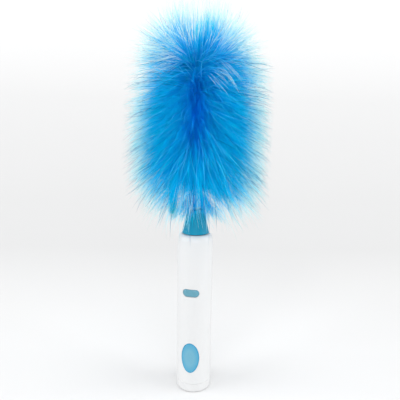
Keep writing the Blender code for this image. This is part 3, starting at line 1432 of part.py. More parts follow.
def build():
    clear_scene()
    button_axis = axis_empty("button_axis", (0.0, 0.0, BUTTON_HEIGHT))
    contact_axis = axis_empty("contact_axis", (0.0, 0.0, 0.0))
    cap_axis = axis_empty("cap_axis", (0.0, 0.0, 0.0), contact_axis)
    drive_axis = axis_empty("drive_axis", (0.0, 0.0, 0.0))
    head_axis = axis_empty("head_axis", (0.0, 0.0, 0.0), drive_axis)
    idler_axis = axis_empty("idler_axis", (0.0, GEAR_DISTANCE, 0.0))
    rotor_axis = axis_empty("rotor_axis", (0.0, 0.0, 0.0))
    build_front_shell()
    build_rear_shell()
    build_shell_screws()
    build_badge()
    build_end_cap(cap_axis)
    build_contact_disc(contact_axis)
    build_cells()
    build_battery_holder()
    build_button(button_axis)
    build_switch()
    build_motor()
    build_rotor(rotor_axis)
    build_gear_plates()
    build_idler(idler_axis)
    build_drive(drive_axis)
    build_collar(head_axis)
    build_core(head_axis)
    chance = random.Random(SEED)
    for index in range(RING_COUNT):
        build_fibre_ring(index, chance, head_axis)
    build_wires()


build()
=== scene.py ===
"""Looks of the electric spin duster: fine shells, button, badge, cap, collar and screws,
and a head of fine fibres gathered in locks, on a pale floor in soft light.

Metres, +Z up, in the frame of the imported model. The power button faces -Y.
"""

import json
import math

import bmesh
import bpy
import numpy as np
from mathutils import Matrix, Vector


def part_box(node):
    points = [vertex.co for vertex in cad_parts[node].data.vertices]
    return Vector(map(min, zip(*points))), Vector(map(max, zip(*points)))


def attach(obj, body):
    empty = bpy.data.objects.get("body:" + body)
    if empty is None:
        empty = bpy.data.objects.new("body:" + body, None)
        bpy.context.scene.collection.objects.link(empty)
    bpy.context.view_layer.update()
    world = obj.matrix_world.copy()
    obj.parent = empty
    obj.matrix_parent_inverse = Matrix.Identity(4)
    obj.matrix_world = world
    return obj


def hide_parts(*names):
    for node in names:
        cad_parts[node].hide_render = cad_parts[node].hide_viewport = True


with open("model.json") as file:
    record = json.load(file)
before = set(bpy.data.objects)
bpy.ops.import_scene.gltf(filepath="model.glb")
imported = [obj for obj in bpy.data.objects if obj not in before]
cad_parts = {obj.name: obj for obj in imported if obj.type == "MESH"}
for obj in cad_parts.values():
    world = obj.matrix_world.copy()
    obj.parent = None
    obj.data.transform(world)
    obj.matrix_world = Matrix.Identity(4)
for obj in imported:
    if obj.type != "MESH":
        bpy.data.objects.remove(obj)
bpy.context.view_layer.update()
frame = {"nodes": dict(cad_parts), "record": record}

MM = 0.001
SEED = 11
TURN = math.tau
SMOOTH_ANGLE = math.radians(32.0)

# Camera: the photograph's viewing angle
CAMERA_AZIMUTH = math.radians(13.0)
CAMERA_DISTANCE = 0.452
CAMERA_HEIGHT = 0.306
CAMERA_PITCH = math.radians(9.2)
CAMERA_YAW = math.radians(0.6)
CAMERA_ROLL = math.radians(0.92)
SENSOR_WIDTH = 36.0
FOCAL_SHARE = 0.98
PICTURE_SIZE = 400.0
TO_CAMERA = Vector((math.sin(CAMERA_AZIMUTH), -math.cos(CAMERA_AZIMUTH), 0.0))

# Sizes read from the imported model
HANDLE_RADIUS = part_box("front_shell")[1].x
HANDLE_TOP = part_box("front_shell")[1].z
SHELL_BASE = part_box("front_shell")[0].z
CAP_HEIGHT = SHELL_BASE - 0.15 * MM
COLLAR_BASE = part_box("head_collar")[0].z
COLLAR_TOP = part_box("head_collar")[1].z
COLLAR_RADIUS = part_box("head_collar")[1].x
BUTTON_MIDDLE = (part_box("power_button")[0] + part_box("power_button")[1]) / 2
BADGE_LOW, BADGE_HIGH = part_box("oval_badge")
BADGE_HEIGHT = (BADGE_LOW.z + BADGE_HIGH.z) / 2
HEX_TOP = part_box("drive_hex")[1].z

# Handle
SEAM = 0.3 * MM
GAP = 0.3 * MM
WALL = 2.0 * MM
SHOULDER_RISE = 9.0 * MM
SHOULDER_INSET = 5.0 * MM
NOSE_BORE = 5.1 * MM
BOSS_RADIUS = 8.1 * MM
BOSS_FOOT = HANDLE_TOP - 6.5 * MM
RIM_RADIUS = HANDLE_RADIUS - 3.0 * MM
RIM_TOP = 25.9 * MM
PLUG_RADIUS = RIM_RADIUS - 0.4 * MM
PLUG_TOP = 19.5 * MM
PLUG_BORE = PLUG_RADIUS - 1.7 * MM
EDGE = 0.35 * MM
HALF_TURN_STEPS = 72
ROUND_STEPS = 32
CUT_BEYOND = 2.0 * MM
SCREW_HEAD_HEIGHT = 1.8 * MM
SCREW_HEAD_RADIUS = 2.4 * MM
SCREW_HOLE_RADIUS = 2.7 * MM
SCREW_POST_RADIUS = 3.2 * MM

# Button and badge, and the room round them
INLAY_GAP = 0.14 * MM
INLAY_EASE = 0.16 * MM
BUTTON_HALF_WIDTH = 9.8 * MM
BUTTON_HALF_HEIGHT = 4.5 * MM
BUTTON_RISE = 0.9 * MM
BUTTON_EDGE = 2.4 * MM
BUTTON_EDGE_HEIGHT = 0.6 * BUTTON_EDGE
FLANGE_BORDER = 1.8 * MM
FLANGE_THICKNESS = 1.4 * MM
STEM_RADIUS = 2.5 * MM
STEM_DEPTH = 1.9 * MM
BADGE_HALF_WIDTH = (BADGE_HIGH.x - BADGE_LOW.x) / 2 - 0.6 * MM
BADGE_HALF_HEIGHT = (BADGE_HIGH.z - BADGE_LOW.z) / 2 - 0.4 * MM
BADGE_RECESS = 1.0 * MM
BADGE_RISE = 0.3 * MM

# Head
SLEEVE_BASE = COLLAR_TOP + 3.5 * MM
SLEEVE_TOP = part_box("rod_tip")[0].z - GAP
SLEEVE_RADIUS = 7.0 * MM
HEAD_MIDDLE = COLLAR_TOP + 95.8 * MM
ROOT_MIDDLE = 0.338
ROOT_SLOPE = 0.7
LEAN_HEIGHTS = np.array([190, 225, 250, 270, 300, 330, 350, 370, 385, 400, 420, 450]) * MM
WHOLE_LEANS = np.array([6.0, 6.0, 1.0, 2.0, 3.5, 3.7, 3.9, 4.0, 2.5, 1.0, -2.5, 0.0]) * MM
BODY_LEANS = np.array([9.0, 10.0, 10.0, 4.0, 0.0, 0.0, 5.0, 6.0, 10.0, 7.0, 2.0, 0.0]) * MM
REACH_LIMIT = 86.0 * MM
FRONT = -math.pi / 2 + CAMERA_AZIMUTH - math.radians(1.0)
BACKING_BORE = 4.3 * MM
STRANDS_PER_PIECE = 7000

# How the fibres lie
CROWN_DEPTH = 25.0 * MM
CROWN_FADE = 40.0 * MM
PARTING = math.radians(3.5)
PARTING_WIDTH = math.radians(20.0)
SPLAY = math.radians(11.0)
SHY_ANGLE = math.radians(48.0)
SHY_TURN = math.radians(75.0)
RUN_ON = 80.0 * MM
DRIFT = 1.5 * MM
SWAY = 0.9 * MM
STRAND_RINGS = 6
SKIRT_RINGS = 7
MAP_WIDTH = 0.004

# Painted shade on the photographed side: a darker, deep blue middle, and the strands there that keep their
# darker root colour
CORE_SHADE_MIDDLE = 0.324
CORE_SHADE_REACH = 43.0 * MM
CORE_SHADE_ANGLE = math.radians(13.0)
FRONT_SHADE_ANGLE = math.radians(50.0)
FRONT_SHADE_SHARE = 0.6
FRONT_SHADE_BASE = 0.214
FRONT_SHADE_TOP = 0.402
FRONT_SHADE_BASE_FADE = 0.02
FRONT_SHADE_TOP_FADE = 0.022

# Outlines of the head: radius, middle height, reach up and down, roundness above and below, lowest and
# highest angle, lean at each height. Under a roundness of 1 the outline bulges, over it the outline narrows.
WHOLE = (
    87.0 * MM, HEAD_MIDDLE, 139.0 * MM, 128.0 * MM, 0.8, 0.62,
    math.radians(-69.0), math.radians(88.0), WHOLE_LEANS,
)
BODY = (
    66.0 * MM, 0.3165, 91.0 * MM, 80.0 * MM, 1.4, 0.72,
    math.radians(-80.0), math.radians(88.0), BODY_LEANS,
)

# Density of the fibres: shares of the way up the outline, and the share of fibres kept there
EVEN = ([0.0, 1.0], [1.0, 1.0])
SPARSE_TOP = ([0.0, 0.05, 0.12, 0.17, 0.5, 0.62, 0.74, 1.0], [0.12, 0.25, 0.6, 1.0, 0.95, 0.5, 0.2, 0.16])
SPARSE_FOOT = ([0.0, 0.06, 0.14, 1.0], [0.3, 0.5, 1.0, 1.0])

# Locks and hairs that stand out: root row, tip column and tip row in the photograph, mm in front of the axis
SOLID_TUFTS = [
    (70, 206, 9, 22), (66, 201, 16, 30), (70, 211, 15, 12), (68, 197, 26, 34),
    (112, 264, 139, 6), (124, 257, 155, 14), (118, 129, 149, 4), (132, 137, 172, 12),
    (150, 250, 190, 0), (150, 245, 199, 14), (156, 233, 207, 24), (144, 258, 182, 4),
    (158, 221, 205, 34),
]
HANGING_TUFTS = [(160, 171.5, 219, 24)]
# White tufts are near-white strands that stand for highlights on the fibres: painted highlights.
GLINT_TUFTS = [
    (68, 240, 14, 30), (74, 232, 24, 38), (40, 242, 90, 54), (42, 230, 88, 60),
    (60, 146, 44, 40), (62, 150, 60, 44), (66, 152, 74, 40), (64, 160, 36, 44),
    (62, 152, 52, 50), (68, 166, 50, 56), (64, 142, 66, 40), (60, 170, 26, 30),
    (66, 156, 66, 54), (64, 148, 52, 46), (70, 160, 44, 52), (56, 250, 44, 36),
    (60, 256, 62, 34), (152, 148, 198, 36), (150, 246, 194, 30), (150, 236, 208, 34),
    (165, 218, 230, 30), (156, 240, 220, 20), (160, 232, 230, 24), (158, 178, 214, 30),
    (160, 186, 224, 26), (160, 196, 222, 34), (140, 158, 212, 20),
]
HAIRS = [
    (66, 246, 28, 20), (160, 243, 216, 20), (165, 237, 234, 20), (70, 271, 78, 0),
    (88, 270, 90, 5), (112, 130, 149, 0), (50, 143, 12, 0),
]
LOW_HAIRS = [(172, 215.5, 243, 30), (174, 170, 253, 20), (180, 188, 262, 42)]

# Stage: the paper's sizes, and how pale it is along its length, as painted light and shade: paler under the
# duster and high up the curve, darker between
PAPER_FRONT = -4.0
PAPER_BEND = 0.4
PAPER_HALF_WIDTH = 9.0
PAPER_SINK = 0.02 * MM
BEND_RADIUS = 2.5
SHADE_LENGTH = 4.0
PAPER_PAINTED_LIGHT = [
    (0.0, 0.79), (0.02, 0.79), (0.063, 0.73), (0.145, 0.645), (0.25, 0.63), (0.41, 0.63),
    (0.51, 0.64), (0.74, 0.74), (1.0, 0.76),
]

# Lights: name, bearing to the right of the camera and elevation in degrees, strength, breadth in degrees
LIGHTS = [
    ("front", 4.0, 14.0, 0.8, 42.0),
    ("left", -78.0, 28.0, 1.05, 42.0),
    ("right", 82.0, 26.0, 1.1, 42.0),
    ("top", 20.0, 75.0, 0.42, 42.0),
    ("key", -26.0, 37.0, 0.15, 14.0),
]
SKY_STRENGTH = 0.75
SKY_COLOUR = (0.985, 0.992, 1.0, 1.0)
BOUNCES = 40
DIFFUSE_BOUNCES = 32


# Materials


def fresh_paint(name):
    """A new material with its node tree."""
    paint = bpy.data.materials.new(name)
    paint.use_nodes = True
    return paint, paint.node_tree


def feed(tree, node, inputs):
    """Sets inputs of a node to plain values, or links them to the outputs of other nodes."""
    for key, value in inputs.items():
        if isinstance(value, bpy.types.NodeSocket):
            tree.links.new(value, node.inputs[key])
        else:
            node.inputs[key].default_value = value


def adjust(paint, inputs):
    """Feeds the main shader of a material."""
    feed(paint.node_tree, paint.node_tree.nodes["Principled BSDF"], inputs)


def added(tree, kind, output, inputs):
    """One output of a new node with these inputs."""
    node = tree.nodes.new(kind)
    feed(tree, node, inputs)
    return node.outputs[output]


def blended(tree, share, first, second):
    """The first colour at a share of 0, the second at 1."""
    node = tree.nodes.new("ShaderNodeMix")
    node.data_type = "RGBA"
    feed(tree, node, {0: share, 6: first, 7: second})
    return node.outputs[2]


def map_axes(tree, name):
    """Both coordinates of a map on the mesh."""
    where = tree.nodes.new("ShaderNodeUVMap")
    where.uv_map = name
    split = tree.nodes.new("ShaderNodeSeparateXYZ")
    feed(tree, split, {0: where.outputs["UV"]})
    return split.outputs["X"], split.outputs["Y"]


def toned(colour, factor):
    """The colour made darker or paler."""
    return (*(min(1.0, channel * factor) for channel in colour), 1.0)


def moulded(name, colour, roughness, spread=0.04, grain=1400.0, depth=0.012, tone=0.03, metallic=0.0):
    """A finish with faint changes of tone and gloss and a fine grain."""
    paint, tree = fresh_paint(name)
    place = added(tree, "ShaderNodeTexCoord", "Object", {})
    cloud = added(tree, "ShaderNodeTexNoise", "Fac", {"Vector": place, "Scale": 55.0, "Detail": 4.0})
    fine = added(tree, "ShaderNodeTexNoise", "Fac", {"Vector": place, "Scale": grain, "Detail": 2.0})
    gloss = {"Value": cloud, "To Min": max(0.02, roughness - spread), "To Max": roughness + spread}
    bump = {"Height": fine, "Strength": 0.25, "Distance": depth * MM}
    looks = {
        "Metallic": metallic,
        "Base Color": blended(tree, cloud, toned(colour, 1.0 - tone), toned(colour, 1.0 + tone)),
        "Roughness": added(tree, "ShaderNodeMapRange", "Result", gloss),
        "Normal": added(tree, "ShaderNodeBump", "Normal", bump),
    }
    adjust(paint, looks)
    return paint


def fibre_finish(name, deep, bright, tips, change=(0.3, 1.0, 0.85), roughness=0.42):
    """Fine fibre. Its map holds the place along the strand (u) and the strand's tint (v).

    The change says where along the strand the colour of the tips sets in, where it is full and how strong.
    """
    paint, tree = fresh_paint(name)
    along, tint = map_axes(tree, "OFBake")
    start, full, strength = change
    ramp = {"Value": along, "From Min": start, "From Max": full, "To Max": strength}
    share = added(tree, "ShaderNodeMapRange", "Result", ramp)
    place = added(tree, "ShaderNodeTexCoord", "Object", {})
    noise = added(tree, "ShaderNodeTexNoise", "Fac", {"Vector": place, "Scale": 400.0})
    gloss = {"Value": noise, "To Min": roughness - 0.1, "To Max": roughness + 0.1}
    looks = {
        "Specular IOR Level": 0.015,
        "Base Color": blended(tree, share, blended(tree, tint, deep, bright), tips),
        "Roughness": added(tree, "ShaderNodeMapRange", "Result", gloss),
    }
    adjust(paint, looks)
    return paint


WHITE = moulded("shell_white", (0.68, 0.684, 0.686), 0.32, 0.02, depth=0.003, tone=0.008)
BUTTON_BLUE = moulded("button_blue", (0.08, 0.28, 0.37), 0.3)
adjust(BUTTON_BLUE, {"Coat Weight": 0.7, "Coat Roughness": 0.14})
BADGE_BLUE = moulded("badge_blue", (0.13, 0.375, 0.51), 0.22)
# The badge blue made darker for the raised rim: painted shade.
BADGE_RIM_SHADE = moulded("badge_rim_shade", (0.03, 0.29, 0.48), 0.24)
TEAL = moulded("collar_teal", (0.0, 0.25, 0.4), 0.42, tone=0.06)
adjust(TEAL, {"Specular IOR Level": 0.2})
FINISHES = {
    "shell_white": WHITE,
    "accent_blue": BUTTON_BLUE,
    "collar_teal": TEAL,
    "inner_plastic": moulded("inner_plastic", (0.55, 0.56, 0.57), 0.5, tone=0.05),
    "gear_plastic": moulded("gear_plastic", (0.80, 0.78, 0.70), 0.4, tone=0.05),
    "steel": moulded("steel", (0.62, 0.62, 0.63), 0.28, 0.08, 900.0, 0.01, 0.06, 1.0),
    "spring_wire": moulded("spring_wire", (0.66, 0.66, 0.67), 0.24, 0.06, 1200.0, 0.01, 0.05, 1.0),
    "brass": moulded("brass", (0.74, 0.56, 0.26), 0.3, 0.08, 1000.0, 0.01, 0.08, 1.0),
    "copper": moulded("copper", (0.74, 0.36, 0.19), 0.34, 0.08, 700.0, 0.02, 0.1, 1.0),
    "cell_jacket": moulded("cell_jacket", (0.30, 0.31, 0.33), 0.3, 0.05, 900.0, 0.01, 0.06, 0.6),
    "black_plastic": moulded("black_plastic", (0.022, 0.022, 0.024), 0.42, tone=0.15),
    "board_green": moulded("board_green", (0.03, 0.2, 0.09), 0.45, tone=0.15),
    "wire_red": moulded("wire_red", (0.55, 0.03, 0.03), 0.45, tone=0.08),
    "wire_black": moulded("wire_black", (0.02, 0.02, 0.022), 0.45, tone=0.15),
}
BACKING = moulded("backing_blue", (0.0, 0.4, 0.97), 0.8, grain=900.0, depth=0.2, tone=0.2)

DEEP_BLUE = (0.0, 0.34, 1.0, 1.0)
FIBRE_BLUE = fibre_finish("fibre_blue", (0.0, 0.3, 1.0, 1.0), (0.01, 0.82, 1.0, 1.0), (0.01, 0.84, 1.0, 1.0))
FIBRE_FRINGE = fibre_finish(
    "fibre_fringe", DEEP_BLUE, (0.0, 0.84, 1.0, 1.0), (0.48, 0.93, 1.0, 1.0), (0.56, 0.84, 0.92)
)
# Near-white strands that stand for highlights on the fibres: painted highlights.
FIBRE_GLINT = fibre_finish(
    "fibre_glint", DEEP_BLUE, (0.1, 0.8, 1.0, 1.0), (0.74, 1.0, 1.0, 1.0), (0.55, 0.72, 1.0), 0.3
)
FIBRE_TEAL = fibre_finish(
    "fibre_teal", (0.0, 0.1, 0.28, 1.0), (0.0, 0.22, 0.47, 1.0), (0.01, 0.24, 0.45, 1.0), roughness=0.35
)


# Mesh helpers


def link(obj):
    """Puts an object into the scene."""
    bpy.context.scene.collection.objects.link(obj)
    return obj


def mesh_piece(name, shape, *finishes):
    """An object from a bmesh, smooth except at real edges."""
    bmesh.ops.recalc_face_normals(shape, faces=shape.faces)
    mesh = bpy.data.meshes.new(name)
    shape.to_mesh(mesh)
    shape.free()
    mesh.shade_smooth()
    mesh.set_sharp_from_angle(angle=SMOOTH_ANGLE)
    for finish in finishes:
        mesh.materials.append(finish)
    return link(bpy.data.objects.new(name, mesh))


def turned(outline, steps, first=0.0, arc=TURN):
    """A solid turned about Z from (radius, height) points."""
    shape = bmesh.new()
    full = abs(arc - TURN) < 1e-6
    count = steps if full else steps + 1
    rings = []
    for step in range(count):
        angle = first + arc * step / steps
        rings.append([shape.verts.new((r * math.cos(angle), r * math.sin(angle), z)) for r, z in outline])
    size = len(outline)
    for step in range(steps):
        here, there = rings[step], rings[(step + 1) % count]
        for index in range(size):
            after = (index + 1) % size
            if outline[index][0] == 0.0 and outline[after][0] == 0.0:
                continue
            shape.faces.new([here[index], here[after], there[after], there[index]])
    if not full:
        shape.faces.new(rings[0])
        shape.faces.new(rings[-1])
    bmesh.ops.remove_doubles(shape, verts=shape.verts, dist=1e-7)
    bmesh.ops.dissolve_degenerate(shape, edges=shape.edges, dist=1e-8)
    return shape


def rod(radius, low, high):
    """A round bar along Z."""
    return turned([(0.0, low), (radius, low), (radius, high), (0.0, high)], ROUND_STEPS)


def prism(outline, low, high):
    """A bar along Z with the outline as its section."""
    shape = bmesh.new()
    base = shape.faces.new([shape.verts.new((x, y, low)) for x, y in outline])
    raised = bmesh.ops.extrude_face_region(shape, geom=[base])["geom"]
    corners = [item for item in raised if isinstance(item, bmesh.types.BMVert)]
    bmesh.ops.translate(shape, verts=corners, vec=(0.0, 0.0, high - low))
    return shape


def arc_points(centre, across, up, start, end, steps):
    """Points of an elliptical arc, with angles in degrees."""
    turns = [math.radians(start + (end - start) * step / steps) for step in range(steps + 1)]
    return [(centre[0] + across * math.cos(turn), centre[1] + up * math.sin(turn)) for turn in turns]


def carve(obj, operation, *shapes):
    """Cuts or joins each shape into the object and keeps the result as its mesh."""
    for index, shape in enumerate(shapes):
        other = mesh_piece(f"{obj.name}_tool_{index}", shape)
        change = obj.modifiers.new("carve", "BOOLEAN")
        change.operation = operation
        change.solver = "EXACT"
        change.object = other
        graph = bpy.context.evaluated_depsgraph_get()
        mesh = bpy.data.meshes.new_from_object(obj.evaluated_get(graph))
        obj.modifiers.clear()
        old = obj.data
        obj.data = mesh
        bpy.data.meshes.remove(old)
        tool_mesh = other.data
        bpy.data.objects.remove(other)
        bpy.data.meshes.remove(tool_mesh)
    obj.data.name = obj.name
    obj.data.shade_smooth()
    obj.data.set_sharp_from_angle(angle=SMOOTH_ANGLE)
    return obj


def pill_outline(half_width, half_height, steps):
    """A pill that lies on its side, from the foot of its right end round."""
    straight = half_width - half_height
    points = []
    for side, start in ((1, -90.0), (-1, 90.0)):
        for step in range(steps + 1):
            turn = math.radians(start + 180.0 * step / steps)
            points.append((side * straight + half_height * math.cos(turn), half_height * math.sin(turn)))
    return points


def oval_outline(half_width, half_height, steps):
    """An ellipse, from its right end round."""
    turns = [TURN * step / steps for step in range(steps)]
    return [(half_width * math.cos(turn), half_height * math.sin(turn)) for turn in turns]


def wrapped(layers, height):
    """A plate on the handle's front: each layer is (outline, radius) and lies on that cylinder.

    Both ends are closed with upright strips, so they are curved like the handle.
    """
    shape = bmesh.new()
    rings = []
    for outline, radius in layers:
        rings.append([shape.verts.new((x, -math.sqrt(radius**2 - x**2), z + height)) for x, z in outline])
    for below, above in zip(rings, rings[1:]):
        for index in range(len(below)):
            after = (index + 1) % len(below)
            shape.faces.new([below[index], below[after], above[after], above[index]])
    for ring in (rings[0], rings[-1]):
        size = len(ring)
        right = max(range(size), key=lambda index: ring[index].co.x)
        for step in range(size // 2):
            corners = [ring[(right + turn) % size] for turn in (step, step + 1, -step - 1, -step)]
            shape.faces.new(list(dict.fromkeys(corners)))
    return shape


def along_y(shape, x, z):
    """Turns a shape built along +Z so that it runs towards +Y from the seam plane."""
    shape.transform(Matrix.Translation((x, 0.0, z)) @ Matrix.Rotation(-math.pi / 2, 4, "X"))
    return shape


# Handle and collar


def shell_outline():
    """Outer wall with its shoulder and nose, then the inner wall, down to the rim."""
    centre = (HANDLE_RADIUS - SHOULDER_INSET, HANDLE_TOP - SHOULDER_RISE)
    outer = [(HANDLE_RADIUS - EDGE, SHELL_BASE), (HANDLE_RADIUS, SHELL_BASE + EDGE)]
    outer += arc_points(centre, SHOULDER_INSET, SHOULDER_RISE, 0.0, 90.0, 16)
    nose = [(NOSE_BORE + EDGE, HANDLE_TOP), (NOSE_BORE, HANDLE_TOP - EDGE), (NOSE_BORE, BOSS_FOOT)]
    nose += [(BOSS_RADIUS, BOSS_FOOT), (BOSS_RADIUS, HANDLE_TOP - WALL)]
    inner = arc_points(centre, SHOULDER_INSET - WALL, SHOULDER_RISE - WALL, 90.0, 0.0, 8)
    rim = [(HANDLE_RADIUS - WALL, RIM_TOP + WALL), (RIM_RADIUS, RIM_TOP), (RIM_RADIUS, SHELL_BASE)]
    return outer + nose + inner + rim


def screw_places():
    """The middle of each shell screw's head, on its outer face."""
    places = []
    for index in range(1, 5):
        low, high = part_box(f"shell_screw_{index}")
        places.append(((low.x + high.x) / 2, high.y, (low.z + high.z) / 2))
    return places


def inlay_cut(outline, half_width, half_height, steps, floor, height):
    """Room in the wall for the button or the badge, down to the floor's radius, its outer edge eased."""
    eased = INLAY_GAP + INLAY_EASE
    narrow = outline(half_width + INLAY_GAP, half_height + INLAY_GAP, steps)
    wide = outline(half_width + eased, half_height + eased, steps)
    layers = [
        (narrow, floor),
        (narrow, HANDLE_RADIUS - INLAY_EASE),
        (wide, HANDLE_RADIUS + 0.01 * MM),
        (wide, HANDLE_RADIUS + CUT_BEYOND),
    ]
    return wrapped(layers, height)


def build_shell(name, front):
    """Half of the handle. It ends just short of the middle, so that the seam shows as a fine line."""
    shape = turned(shell_outline(), HALF_TURN_STEPS, math.pi if front else 0.0, math.pi)
    side = -1.0 if front else 1.0
    for corner in shape.verts:
        if abs(corner.co.y) < 1e-6:
            corner.co.y = side * SEAM / 2
    shell = mesh_piece(name, shape, WHITE)
    if front:
        sizes = (BUTTON_HALF_WIDTH, BUTTON_HALF_HEIGHT)
        window = inlay_cut(pill_outline, *sizes, 20, HANDLE_RADIUS - 6.0 * MM, BUTTON_MIDDLE.z)
        sizes = (BADGE_HALF_WIDTH, BADGE_HALF_HEIGHT)
        recess = inlay_cut(oval_outline, *sizes, 64, HANDLE_RADIUS - BADGE_RECESS, BADGE_HEIGHT)
        carve(shell, "DIFFERENCE", window, recess)
    else:
        for x, y, z in screw_places():
            seat = y - SCREW_HEAD_HEIGHT - GAP
            top = math.sqrt(HANDLE_RADIUS**2 - x**2) - 1.0 * MM
            post = rod(SCREW_POST_RADIUS, 1.0 * MM, top)
            hole = rod(SCREW_HOLE_RADIUS, seat, HANDLE_RADIUS + CUT_BEYOND)
            carve(shell, "UNION", along_y(post, x, z))
            carve(shell, "DIFFERENCE", along_y(hole, x, z))
    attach(shell, "root")
    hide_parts("front_shell" if front else "rear_shell")


def build_screws():
    """Shell screws with a domed head and a cross recess."""
    reach = 1.5 * MM
    half = 0.28 * MM
    groove = [(-reach, -half), (reach, -half), (reach, half), (-reach, half)]
    dome = 0.7 * MM
    for index, (x, y, z) in enumerate(screw_places(), 1):
        base = y - SCREW_HEAD_HEIGHT
        head = [(0.0, base), (SCREW_HEAD_RADIUS, base), (SCREW_HEAD_RADIUS, y - dome)]
        head += arc_points((0.0, y - dome), SCREW_HEAD_RADIUS - 0.1 * MM, dome, 20.0, 88.0, 6)
        head += [(0.0, y)]
        screw = mesh_piece(f"screw_{index}", along_y(turned(head, ROUND_STEPS), x, z), FINISHES["steel"])
        for turn in (45.0, 135.0):
            bar = prism(groove, y - 0.9 * MM, y + 1.0 * MM)
            bar.transform(Matrix.Rotation(math.radians(turn + 17.0 * index), 4, "Z"))
            carve(screw, "DIFFERENCE", along_y(bar, x, z))
        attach(screw, "root")
        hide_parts(f"shell_screw_{index}")


def build_button():
    """The push button: a flange behind the wall, a pill with a soft edge and a hollow face, and a stem."""
    front = HANDLE_RADIUS - WALL - GAP
    back = front - FLANGE_THICKNESS
    rise = HANDLE_RADIUS + BUTTON_RISE

    def pill(inset):
        return pill_outline(BUTTON_HALF_WIDTH - inset, BUTTON_HALF_HEIGHT - inset, 24)

    layers = [(pill(-FLANGE_BORDER), back), (pill(-FLANGE_BORDER), front), (pill(0.0), front)]
    for step in range(7):
        turn = math.pi / 2 * step / 6
        inset = BUTTON_EDGE * (1.0 - math.cos(turn))
        layers.append((pill(inset), rise - BUTTON_EDGE_HEIGHT * (1.0 - math.sin(turn))))
    for inset, sink in ((2.8, 0.02), (3.4, 0.05), (3.9, 0.07)):
        layers.append((pill(inset * MM), rise - sink * MM))
    button = mesh_piece("power_button_cap", wrapped(layers, BUTTON_MIDDLE.z), BUTTON_BLUE)
    stem = rod(STEM_RADIUS, -back - FLANGE_THICKNESS / 2, -back + STEM_DEPTH)
    carve(button, "UNION", along_y(stem, 0.0, BUTTON_MIDDLE.z))
    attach(button, "button")
    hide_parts("power_button")


def paint_badge_reflection(paint, centre, shaded_rim_colour):
    """Paints a reflection and shade onto the oval: its colour deepens from a paler middle to its rim."""
    tree = paint.node_tree
    source = tree.nodes["Principled BSDF"].inputs["Base Color"].links[0].from_socket
    fit = tree.nodes.new("ShaderNodeMapping")
    fit.vector_type = "TEXTURE"
    place = added(tree, "ShaderNodeTexCoord", "Object", {})
    scale = (BADGE_HALF_WIDTH, HANDLE_RADIUS, BADGE_HALF_HEIGHT)
    feed(tree, fit, {"Vector": place, "Location": centre, "Scale": scale})
    ball = tree.nodes.new("ShaderNodeTexGradient")
    ball.gradient_type = "SPHERICAL"
    feed(tree, ball, {"Vector": fit.outputs["Vector"]})
    fade = {"Value": ball.outputs["Fac"], "From Min": 0.0, "From Max": 0.5, "To Min": 0.8, "To Max": 0.0}
    share = added(tree, "ShaderNodeMapRange", "Result", fade)
    adjust(paint, {"Base Color": blended(tree, share, source, shaded_rim_colour)})


def build_badge():
    """The blank oval inlay, with a raised rim and a fine groove inside it."""
    seat = HANDLE_RADIUS - BADGE_RECESS + GAP
    top = HANDLE_RADIUS + BADGE_RISE
    rim = 1.0 * MM

    def oval(inset):
        return oval_outline(BADGE_HALF_WIDTH - inset * MM, BADGE_HALF_HEIGHT - inset * MM, 96)

    layers = [(oval(0.0), seat), (oval(0.0), HANDLE_RADIUS - 0.02 * MM)]
    layers.append((oval(0.12), HANDLE_RADIUS + 0.16 * MM))
    drops = [(0.35, 0.0), (0.75, 0.0), (0.95, 0.12), (1.1, 0.16)]
    drops += [(1.5, 0.1), (3.0, 0.02), (6.0, 0.0), (9.5, 0.0)]
    layers += [(oval(inset), top - drop * MM) for inset, drop in drops]
    shape = wrapped(layers, BADGE_HEIGHT)
    # Painted reflection and shade: the badge is paler in its middle and darker towards its rim.
    paint_badge_reflection(BADGE_BLUE, (0.0, -HANDLE_RADIUS, BADGE_HEIGHT), (0.03, 0.3, 0.5, 1.0))
    badge = mesh_piece("oval_inlay", shape, BADGE_BLUE, BADGE_RIM_SHADE)
    # Faces on the rim take the darker copy of the badge blue, as painted shade.
    for face in badge.data.polygons:
        across = face.center.x / (BADGE_HALF_WIDTH - rim)
        upwards = (face.center.z - BADGE_HEIGHT) / (BADGE_HALF_HEIGHT - rim)
        if across**2 + upwards**2 > 1.0:
            face.material_index = 1
    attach(badge, "root")
    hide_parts("oval_badge")


def build_cap():
    """The end cap: a foot ring with a coin slot, a rounded rim and a plug that goes up into the handle."""
    fillet = 1.2 * MM
    plinth = 0.6 * MM
    foot_outer = HANDLE_RADIUS - 2.1 * MM
    foot_inner = HANDLE_RADIUS - 7.2 * MM
    hollow = 0.8 * MM
    floor = 4.0 * MM
    outline = [(0.0, hollow), (foot_inner, hollow), (foot_inner + hollow, 0.0)]
    outline += [(foot_outer, 0.0), (foot_outer, plinth)]
    outline += arc_points((HANDLE_RADIUS - fillet, plinth + fillet), fillet, fillet, -90.0, 0.0, 8)
    outline += [(HANDLE_RADIUS, CAP_HEIGHT - EDGE), (HANDLE_RADIUS - EDGE, CAP_HEIGHT)]
    outline += [(PLUG_RADIUS, CAP_HEIGHT), (PLUG_RADIUS, PLUG_TOP - EDGE), (PLUG_RADIUS - EDGE, PLUG_TOP)]
    outline += [(PLUG_BORE, PLUG_TOP), (PLUG_BORE, floor), (0.0, floor)]
    cap = mesh_piece("battery_cap", turned(outline, 2 * HALF_TURN_STEPS), WHITE)
    slot = pill_outline(foot_inner - 3.3 * MM, 1.5 * MM, 12)
    carve(cap, "DIFFERENCE", prism(slot, -3.0 * MM, 2.8 * MM))
    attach(cap, "cap")
    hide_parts("end_cap")


